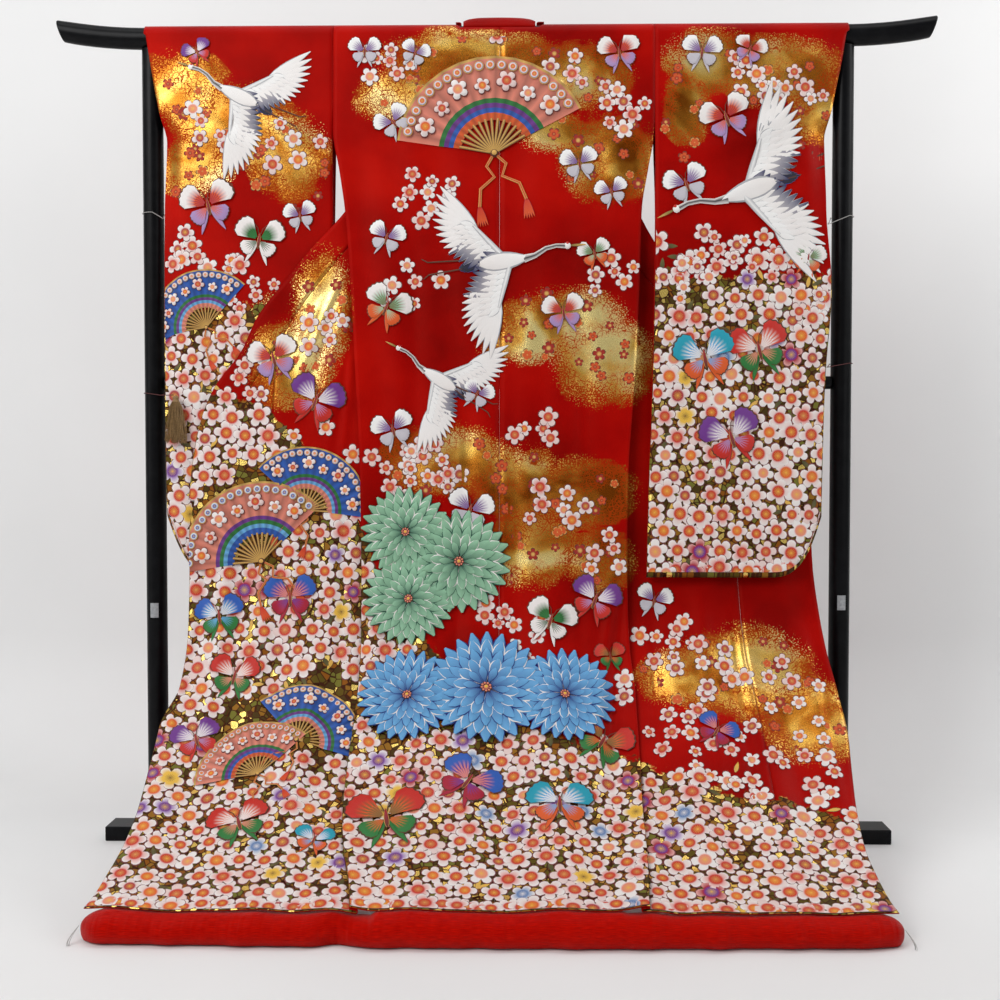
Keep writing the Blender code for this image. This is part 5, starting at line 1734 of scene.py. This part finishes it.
# Turn from one blossom of a cluster to the next, in radians
SPIRAL_TURN = 2.4


def covered(name, x, z):
    """Whether a large motif already fills this place."""
    for large in LARGE_PLACES.get(name, ()):
        fan = large.kind not in SOLID_REACH
        reach = FAN_REACH if fan else SOLID_REACH[large.kind]
        turn = math.radians(large.angle)
        shift = 0.55 * large.size if fan else 0.0
        apart = (x - large.x + shift * math.sin(turn), z - large.z - shift * math.cos(turn))
        if math.hypot(*apart) < reach * large.size:
            return True
    return False


def bed_at(name, x, z):
    """1 well inside the flower bed, 0 outside."""
    return float(sleeve_bed(side_of(name), z) if name.startswith("sleeve") else curtain_bed(x, z))


def flower_bed(name, draw):
    """Blossoms and leaves on an uneven grid over the bed, and sprays above it."""
    work = Stitching(name)
    face = FACES[name]
    reach = ARC[-1] if work.on_curtain else TOP_Z - face.bottom
    rows = np.append(np.arange(0.10, reach, BED_STEP * BED_ROW), reach - BED_LAST_ROW)
    for r, v in enumerate(rows):
        for c in range(-BED_COLUMNS, BED_COLUMNS + 1):
            jitter = draw.uniform(-1, 1, 2)
            spot = draw.uniform(0, 1, 6)
            kind = draw.choice(len(BLOSSOMS), p=BLOSSOM_ODDS)
            x = (c + 0.5 * (r % 2)) * BED_STEP + 0.007 * jitter[0]
            z = work.level(v + 0.006 * jitter[1])
            if not face.low(z) - 0.004 < x < face.high(z) + 0.004:
                continue
            if z < face.bottom - 0.001 or z > face.top - 0.02:
                continue
            if name == "front_right" and z > COVERED_ABOVE and abs(x) > COVERED_BEYOND:
                continue
            if bed_at(name, x, z) < spot[0] or covered(name, x, z):
                continue
            size = BLOSSOM_SIZE * (0.86 + 0.26 * spot[1])
            lift = BLOSSOM_LIFT + BLOSSOM_LIFT_RANGE * spot[3]
            work.add(BLOSSOMS[kind], x, z, 72 * spot[2], size, lift)
            if spot[4] > 0.35:
                turn = 360 * spot[5]
                place = (x + 0.020 * math.cos(math.radians(turn)), z + 0.018 * math.sin(math.radians(turn)))
                work.add(LEAVES[int(3 * spot[4]) % 3], *place, turn + 25, 0.022, BLOSSOM_LIFT)
    clouds = CURTAIN_CLOUDS if work.on_curtain else SLEEVE_CLOUDS[side_of(name)]
    for cloud in clouds:
        for k in range(int(900 * cloud.rx * cloud.rv) + 3):
            turn, far = SPIRAL_TURN * k + draw.uniform(0, 1), 1.02 * math.sqrt(draw.uniform(0.02, 1))
            x, v = cloud.x + cloud.rx * far * math.cos(turn), cloud.v + cloud.rv * far * math.sin(turn)
            if not work.on_curtain:
                x = SIGN[side_of(name)] * x
            z = work.level(v)
            spin, size = draw.uniform(0, 72), draw.uniform(0.0085, 0.0135)
            kind = draw.choice(len(WOVEN_BLOSSOMS))
            on_cloth = face.low(z) + 0.008 < x < face.high(z) - 0.008
            if on_cloth and bed_at(name, x, z) < 0.2 and not covered(name, x, z):
                work.add(WOVEN_BLOSSOMS[kind], x, z, spin, size, 0.0001)
    for spray in SPRAYS.get(name, ()):
        for k in range(spray.count):
            turn = SPIRAL_TURN * k + draw.uniform(0, 1)
            far = spray.spread * math.sqrt((k + 0.4) / spray.count) * 1.3
            x, z = spray.x + far * math.cos(turn), spray.z + 0.8 * far * math.sin(turn)
            kind = draw.choice(6)
            if face.low(z) + 0.01 < x < face.high(z) - 0.01 and not covered(name, x, z):
                work.add(BLOSSOMS[kind], x, z, 40 * k, draw.uniform(0.013, 0.021), 0.0003 + 0.0002 * (k % 5))
    work.make("blossoms")


def large_motifs(name):
    work = Stitching(name)
    for order, large in enumerate(LARGE_PLACES.get(name, ())):
        lift = MOTIF_LIFT + MOTIF_LIFT_STEP * order
        work.add(LARGE_SHAPES[large.kind], large.x, large.z, large.angle, large.size, lift, large.mirror)
    for fly in BUTTERFLY_PLACES.get(name, ()):
        work.add(BUTTERFLIES[fly.colour], fly.x, fly.z, fly.angle, fly.size, BUTTERFLY_LIFT)
    work.make("motifs")


def embroider():
    draw = np.random.default_rng(11)
    for name in FACES:
        flower_bed(name, draw)
        large_motifs(name)


# --- padded hem -------------------------------------------------------------

HEM_STATIONS = 460
HEM_SIDES = 34
PINCH_X = -0.238
PINCH_WIDTH = 0.028


def hem_underside(x):
    """Place of the lowest cloth above the hem roll."""
    z = HEM_Z
    depth = np.zeros(len(x))
    for side in SIDES:
        distance = np.abs(x)
        seam = float(EDGES[side]["side"](z))
        outer = float(EDGES[side]["front"](z))
        gap = float(tuck_gap(side, z))
        tuck = max(TUCK_LEAST, gap / 2 + 0.003)
        share = ease((distance - 0.02 - seam) / (outer - seam))
        behind = np.where(distance < outer, LAYER + gap * (1 - share) + 0.0005, LAY_BACK[side](z))
        behind = np.where(distance < seam + 0.02, LAYER + gap, behind)
        behind = np.where(distance < seam - tuck - 0.012, 0.0, behind)
        depth = np.where(x * SIGN[side] >= 0, behind, depth)
    under = curtain(x, np.full(len(x), z), depth + CLOTH / 2)
    return under[:, 1], under[:, 2]


def softened(values, width):
    kernel = np.exp(-np.linspace(-2, 2, 2 * width + 1) ** 2)
    padded = np.pad(values, width, mode="edge")
    return np.convolve(padded, kernel / kernel.sum(), mode="valid")


def hem_roll():
    """The padded roll along the hem, puckered where it is sewn and pinched under the left side seam."""
    x = np.linspace(FUKI_LEFT, FUKI_RIGHT, HEM_STATIONS)
    to_end = np.minimum(x - FUKI_LEFT, FUKI_RIGHT - x)
    size = np.sqrt(np.maximum(0.012, 1 - (1 - np.minimum(to_end / FUKI_TAPER, 1.0)) ** 2))
    hem_x = np.clip(x, -EDGES["left"]["okumi"](HEM_Z), EDGES["right"]["okumi"](HEM_Z))
    y, z = hem_underside(hem_x)
    for shift in (-0.012, -0.006, 0.006, 0.012):
        z = np.minimum(z, hem_underside(hem_x + shift)[1])
    top_z = softened(z, 4) - 0.0006
    top_y = softened(y, 6)
    pinch = np.exp(-(((x - PINCH_X) / PINCH_WIDTH) ** 2))
    fine = 0.6 * np.sin(x / 0.0021 + 2.2 * np.sin(x * 31)) + 0.4 * np.sin(x / 0.0012 + 3.0 * np.sin(x * 17))
    broad = 0.0016 * np.sin(x * 61.0) + 0.0012 * np.sin(x * 113.0 + 1.0) + 0.0008 * np.sin(x * 37.0 + 2.0)
    angle = ring_angles(HEM_SIDES)
    points = []
    for i in range(HEM_STATIONS):
        seam = np.clip(np.sin(angle), 0, 1) ** 2
        puff = broad[i] + fine[i] * (0.0003 + 0.0008 * pinch[i] + 0.0006 * seam)
        reach = np.where(np.cos(angle) < 0, FUKI_FRONT * (1 - 0.35 * pinch[i]), FUKI_BACK)
        across = top_y[i] + (reach + puff) * size[i] * np.cos(angle)
        middle = top_z[i] * 0.45
        rise = np.sin(angle)
        upper = middle + (top_z[i] - middle) * np.sign(rise) * np.abs(rise) ** 0.9 * min(size[i], 1.0)
        lower = middle * (1 + 1.28 * rise * min(1.0, 0.35 + size[i]))
        height = np.where(rise >= 0, upper, np.maximum(lower, 0.0005))
        height = height + fine[i] * 0.0005 * np.clip(-np.cos(angle), 0, 1) * (rise > -0.5)
        points.append(np.stack([np.full(HEM_SIDES, x[i]), across, height], axis=-1))
    faces = tube_faces(HEM_STATIONS, HEM_SIDES)
    made = piece("hem_roll", np.concatenate(points), faces, [HEM_SILK], ["fuki"], "hem_silk", 60)
    uv = np.stack(np.broadcast_arrays(x[:, None], 0.0062 * np.arange(HEM_SIDES)[None, :]), axis=-1)
    dress(made, uv, np.zeros((HEM_STATIONS, HEM_SIDES)), np.zeros((HEM_STATIONS, HEM_SIDES)))


# --- stand and small parts --------------------------------------------------


def swept(name, centres, across, upwards, sides, material, node, slot):
    """A rod: rings of an oval section, closed at both ends."""
    angle = ring_angles(sides)
    rings = [
        np.array(c) + np.outer(np.cos(angle), a) + np.outer(np.sin(angle), u)
        for c, a, u in zip(centres, across, upwards)
    ]
    made = piece(
        name, np.concatenate(rings), tube_faces(len(rings), sides), [material], [node], slot, 35,
    )
    turn_out(made)


def turn_out(made):
    """Turn a closed piece's faces outwards where they point in."""
    mesh = made.data
    corners = [np.array([mesh.vertices[i].co for i in face.vertices[:3]]) for face in mesh.polygons]
    volume = sum(
        float(np.dot(c[0], np.cross(c[1], c[2]))) * (len(f.vertices) - 2)
        for c, f in zip(corners, mesh.polygons)
    )
    if volume < 0:
        mesh.flip_normals()


def eased_ends(low, high, ease_by):
    """Stations along a rod and how much its section shrinks at each rounded end."""
    turn = np.radians([0, 22.5, 45, 67.5, 90])
    offsets = ease_by * (1 - np.cos(turn))
    insets = ease_by * (1 - np.sin(turn))
    stations = np.concatenate([low + offsets, np.linspace(low, high, 26)[1:-1], high - offsets[::-1]])
    return stations, np.concatenate([insets, np.zeros(24), insets[::-1]])


def stand():
    """Rounded, polished forms for the stand's rods, and lacquer on its beam and feet."""
    for side, x in (("left", POST_X_LEFT), ("right", POST_X_RIGHT)):
        z, inset = eased_ends(BEAM_HEIGHT + SEAM, BAR_Z - BAR_HEIGHT / 2 - SEAM, 0.0015)
        radius = POST_RADIUS - inset
        swept(
            "round_post_" + side,
            [(x, 0, h) for h in z], [(r, 0, 0) for r in radius], [(0, r, 0) for r in radius],
            48, LACQUER, "post_" + side, "lacquer",
        )
    inset_x = POST_RADIUS + SEAM
    x, inset = eased_ends(POST_X_LEFT + inset_x, POST_X_RIGHT - inset_x, 0.001)
    radius = RAIL_RADIUS - inset
    swept(
        "round_rail", [(h, 0, RAIL_Z) for h in x], [(0, r, 0) for r in radius], [(0, 0, r) for r in radius],
        40, LACQUER, "middle_rail", "lacquer",
    )
    x = eased_ends(BAR_END_LEFT, BAR_END_RIGHT, BAR_ROUNDING)[0]
    ends = BAR_LIFT_LENGTH * np.linspace(0.05, 1, 10)
    x = np.sort(np.concatenate([x, BAR_END_LEFT + ends, BAR_END_RIGHT - ends]))
    to_end = np.minimum(x - BAR_END_LEFT, BAR_END_RIGHT - x)
    to_round = 1 - np.minimum(to_end / BAR_ROUNDING, 1)
    inset = BAR_ROUNDING * (1 - np.sqrt(np.clip(1 - to_round ** 2, 0, 1)))
    z = BAR_Z + BAR_LIFT * np.maximum(0.0, 1 - to_end / BAR_LIFT_LENGTH) ** 2
    slant = 0.006 * np.clip(1 - to_end / 0.03, 0, 1) * np.sign(x)
    swept(
        "oval_top_bar", [(a, 0, h) for a, h in zip(x, z)], [(0, BAR_DEPTH / 2 - i, 0) for i in inset],
        [(s, 0, BAR_HEIGHT / 2 - i) for s, i in zip(slant, inset)], 48, LACQUER, "top_bar", "lacquer",
    )
    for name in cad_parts:
        for starts, finish in ((("base_beam", "foot_"), LACQUER), ("post_plate", PLATE)):
            if name.startswith(starts):
                bpy.data.objects[name].data.materials.clear()
                bpy.data.objects[name].data.materials.append(finish)


def string(name, path, radius, sides, material, node, slot):
    """A closed loop of thin string along a path."""
    path = np.array(path, float)
    ahead = np.roll(path, -1, axis=0) - np.roll(path, 1, axis=0)
    ahead /= np.linalg.norm(ahead, axis=1, keepdims=True)
    first = np.cross(ahead, (0.0, 0.0, 1.0))
    first /= np.linalg.norm(first, axis=1, keepdims=True)
    second = np.cross(ahead, first)
    angle = ring_angles(sides)
    cosine, sine = np.cos(angle)[None, :, None], np.sin(angle)[None, :, None]
    around = cosine * first[:, None, :] + sine * second[:, None, :]
    rings = path[:, None, :] + radius * around
    count = len(path)
    i, k = np.meshgrid(np.arange(count), np.arange(sides), indexing="ij")
    j, m = (i + 1) % count, (k + 1) % sides
    faces = np.stack([i * sides + k, i * sides + m, j * sides + m, j * sides + k], axis=-1).reshape(-1, 4)
    made = piece(name, rings.reshape(-1, 3), faces.tolist(), [material], [node], slot, 80)
    turn_out(made)


def tie(spec):
    """A thin string from a sleeve's outer edge round a post and back."""
    left = spec.side == "left"
    post = POST_X_LEFT if left else POST_X_RIGHT
    inward = 1.0 if left else -1.0
    z_edge = spec.z - spec.drop
    edge = float(SLEEVE[spec.side]["outer"](z_edge)) + CLOTH / 2 + TIE_RADIUS + 0.0025
    front, rear = float(SLEEVE[spec.side]["front"](z_edge)), float(SLEEVE[spec.side]["rear"](z_edge))
    tip = np.array([edge * SIGN[spec.side], (front + rear) / 2, z_edge])
    if spec.over > 0:
        tip[1] = front - 0.011
    around = POST_RADIUS + TIE_RADIUS + 3 * SEAM
    reach_x = (tip[0] - post) * inward
    facing = math.atan2(tip[1], reach_x)
    touch = math.acos(around / math.hypot(reach_x, tip[1]))
    path = []
    for step in range(41):
        angle = facing + touch + (2 * math.pi - 2 * touch) * step / 40
        path.append((post + inward * around * math.cos(angle), around * math.sin(angle), spec.z))
    start, end = np.array(path[0]), np.array(path[-1])
    width = 2 * TIE_RADIUS * np.array([-math.sin(facing) * inward, math.cos(facing), 0.0])
    path += [tuple(end + (tip - end) * t) for t in (0.25, 0.5, 0.75)] + [tuple(tip - width)]
    if spec.over > 0:
        far = tip + np.array([spec.over * inward, -0.004, 0.0])
        apart = np.array([0.0, 2 * TIE_RADIUS, 0.0])
        turn = far + np.array([2.5 * TIE_RADIUS * inward, 0.0, 0.0])
        path += [tuple(far - apart), tuple(turn), tuple(far + apart)]
    path += [tuple(tip + width)] + [tuple(start + (tip - start) * t) for t in (0.75, 0.5, 0.25)]
    material = STRING_GREY if spec.shade == "grey" else STRING_DARK
    string("string_" + spec.name, path, 0.9 * TIE_RADIUS, 8, material, spec.name, spec.shade + "_string")


# The bound head from its top down: share of its height and of its radius
TASSEL_HEAD = [
    (0.0, 0.30), (0.06, 0.62), (0.18, 0.82), (0.34, 0.98), (0.42, 0.80), (0.47, 0.86), (0.52, 0.80),
    (0.57, 0.86), (0.62, 0.80), (0.72, 0.95), (1.0, 0.92),
]
TASSEL_STRANDS = 170
GOLDEN_ANGLE = 2.39996
STRAND_STATIONS = 9
STRAND_RADIUS = 0.00052


def strand(points, radius):
    """A three-sided thread along a path, closed at its ends."""
    points = np.array(points)
    rings = []
    for p in points:
        for k in range(3):
            turn = 2 * math.pi * k / 3
            rings.append(p + np.array([*polar(radius, turn), 0.0]))
    return np.array(rings), tube_faces(len(points), 3)


def gathered(shells):
    """Several closed shells as one list of points and one of faces."""
    points, faces, count = [], [], 0
    for rings, loops in shells:
        points.append(rings)
        faces += [[count + i for i in loop] for loop in loops]
        count += len(rings)
    return np.concatenate(points), faces


def tassel():
    """A thread tassel: a bound head and fine loose threads."""
    draw = np.random.default_rng(5)
    sides = 20
    angle = ring_angles(sides)
    head = []
    for drop, wide in TASSEL_HEAD:
        radius = TASSEL_HEAD_RADIUS * wide
        level = np.full(sides, TASSEL_TOP - TASSEL_HEAD_HEIGHT * drop)
        across, deep = radius * np.cos(angle), 0.8 * radius * np.sin(angle)
        head.append(np.stack([TASSEL_X + across, TASSEL_Y + deep, level], axis=-1))
    shells = [(np.concatenate(head), tube_faces(len(TASSEL_HEAD), sides))]
    for k in range(TASSEL_STRANDS):
        share = math.sqrt((k + 0.5) / TASSEL_STRANDS)
        turn = GOLDEN_ANGLE * k
        across, deep = polar(share, turn)
        length = (TASSEL_LENGTH - TASSEL_HEAD_HEIGHT) * draw.uniform(0.86, 0.995)
        sway = draw.uniform(-1, 1, 2)
        path = []
        for t in np.linspace(0, 1, STRAND_STATIONS):
            spread = t ** 0.55
            root = TASSEL_HEAD_RADIUS * (1 - spread)
            x = across * (1.05 * root + 1.22 * TASSEL_SPREAD_X * spread) + 0.0026 * sway[0] * math.sin(7 * t)
            y = deep * (0.66 * root + 0.90 * TASSEL_SPREAD_Y * spread) + 0.0006 * sway[1] * math.sin(5 * t)
            path.append((TASSEL_X + x, TASSEL_Y + y, TASSEL_TOP - TASSEL_HEAD_HEIGHT + 0.001 - t * length))
        shells.append(strand(path, STRAND_RADIUS))
    piece("thread_tassel", *gathered(shells), [THREAD], ["tassel"], "thread", 60)


def thread_ends():
    """Loose ends of sewing thread at both ends of the hem roll."""
    draw = np.random.default_rng(3)
    shells = []
    for side, end in (("left", FUKI_LEFT), ("right", FUKI_RIGHT)):
        sign = SIGN[side]
        for _ in range(5):
            reach = draw.uniform(0.008, 0.013)
            bend = draw.uniform(-0.006, 0.006)
            path = []
            for t in np.linspace(0, 1, 8):
                out = reach * math.sin(2.2 * t) - 0.004 * (1 - t)
                height = 0.026 * (1 - t) ** 1.4 + 0.0012
                path.append((end + sign * out, HEM_Y - 0.010 + bend * t - 0.012 * t, height))
            shells.append(strand(path, 0.0004))
    piece("hem_thread_ends", *gathered(shells), [STRING_GREY], [], "grey_string", 60)


# Flat size of each panel as it is cut, with its area where it tapers, and how it is held
Sheet = namedtuple("Sheet", "width length area held")


def garment():
    for side in SIDES:
        back_panel(side)
        front_panel(side)
        okumi_panel(side)
        collar_half(side)
        sleeve(side)
    neck = collar_neck()


stand()
garment()
hem_roll()
embroider()
for SPEC in TIES:
    tie(SPEC)
tassel()
thread_ends()

# --- room, light and camera -------------------------------------------------


def room():
    """A pale floor that curves up into a pale wall."""
    wall_y, bend, reach, height = 0.75, 0.30, 5.0, 4.5
    turn = np.radians(np.linspace(0, 90, 16))
    profile = [(-6.0, 0.0)]
    profile += [(wall_y - bend + bend * math.sin(t), bend - bend * math.cos(t)) for t in turn]
    profile.append((wall_y, height))
    points = [(x, y, z) for y, z in profile for x in (-reach, reach)]
    faces = [(2 * i, 2 * i + 1, 2 * i + 3, 2 * i + 2) for i in range(len(profile) - 1)]
    n = Nodes("pale_paint")
    place = n.add("TexCoord").outputs["Object"]
    mottle = n.noise(place, 1.6, 3.0)
    paint = n.ramp(mottle, [(0.3, (0.79, 0.79, 0.785)), (0.7, (0.83, 0.83, 0.825))])
    n.set(Base_Color=paint, Roughness=0.85)
    made = smooth_mesh("pale_room", points, faces, [n.material])


def soft_light(name, place, target, width, height, power):
    data = bpy.data.lights.new(name, "AREA")
    data.shape = "RECTANGLE"
    data.size, data.size_y = width, height
    data.energy = power
    made = linked(name, data)
    made.location = place
    away = np.array(place, float) - np.array(target, float)
    flat = math.hypot(away[0], away[1])
    made.rotation_euler = (math.atan2(flat, away[2]), 0.0, math.atan2(away[0], -away[1]))


room()
soft_light("window_light", (-1.9, -2.5, 2.7), (0.0, 0.0, 0.7), 1.8, 1.8, 62)
soft_light("fill_light", (2.6, -2.4, 1.6), (0.0, 0.0, 0.7), 1.6, 2.2, 9)
soft_light("left_light", (-2.8, -1.4, 1.4), (0.0, 0.0, 0.7), 1.4, 2.2, 10)
soft_light("wall_light", (0.0, -0.6, 3.6), (0.0, 0.5, 0.6), 3.4, 1.0, 26)
soft_light("wall_light_right", (2.3, -0.3, 2.0), (1.2, 0.7, 0.9), 1.2, 1.4, 17)
world = bpy.data.worlds.new("soft_sky")
world.use_nodes = True
world.node_tree.nodes["Background"].inputs["Color"].default_value = (0.92, 0.94, 0.97, 1.0)
world.node_tree.nodes["Background"].inputs["Strength"].default_value = 0.28
bpy.context.scene.world = world

camera_data = bpy.data.cameras.new("camera")
camera_data.lens = 46.8
camera_data.sensor_width = 36.0
camera = linked("camera", camera_data)
camera.location = (0.0409, -2.5013, 0.740)
camera.rotation_euler = (1.5377, 0.0, 0.0163)
bpy.context.scene.camera = camera
bpy.context.scene.view_settings.view_transform = "Standard"
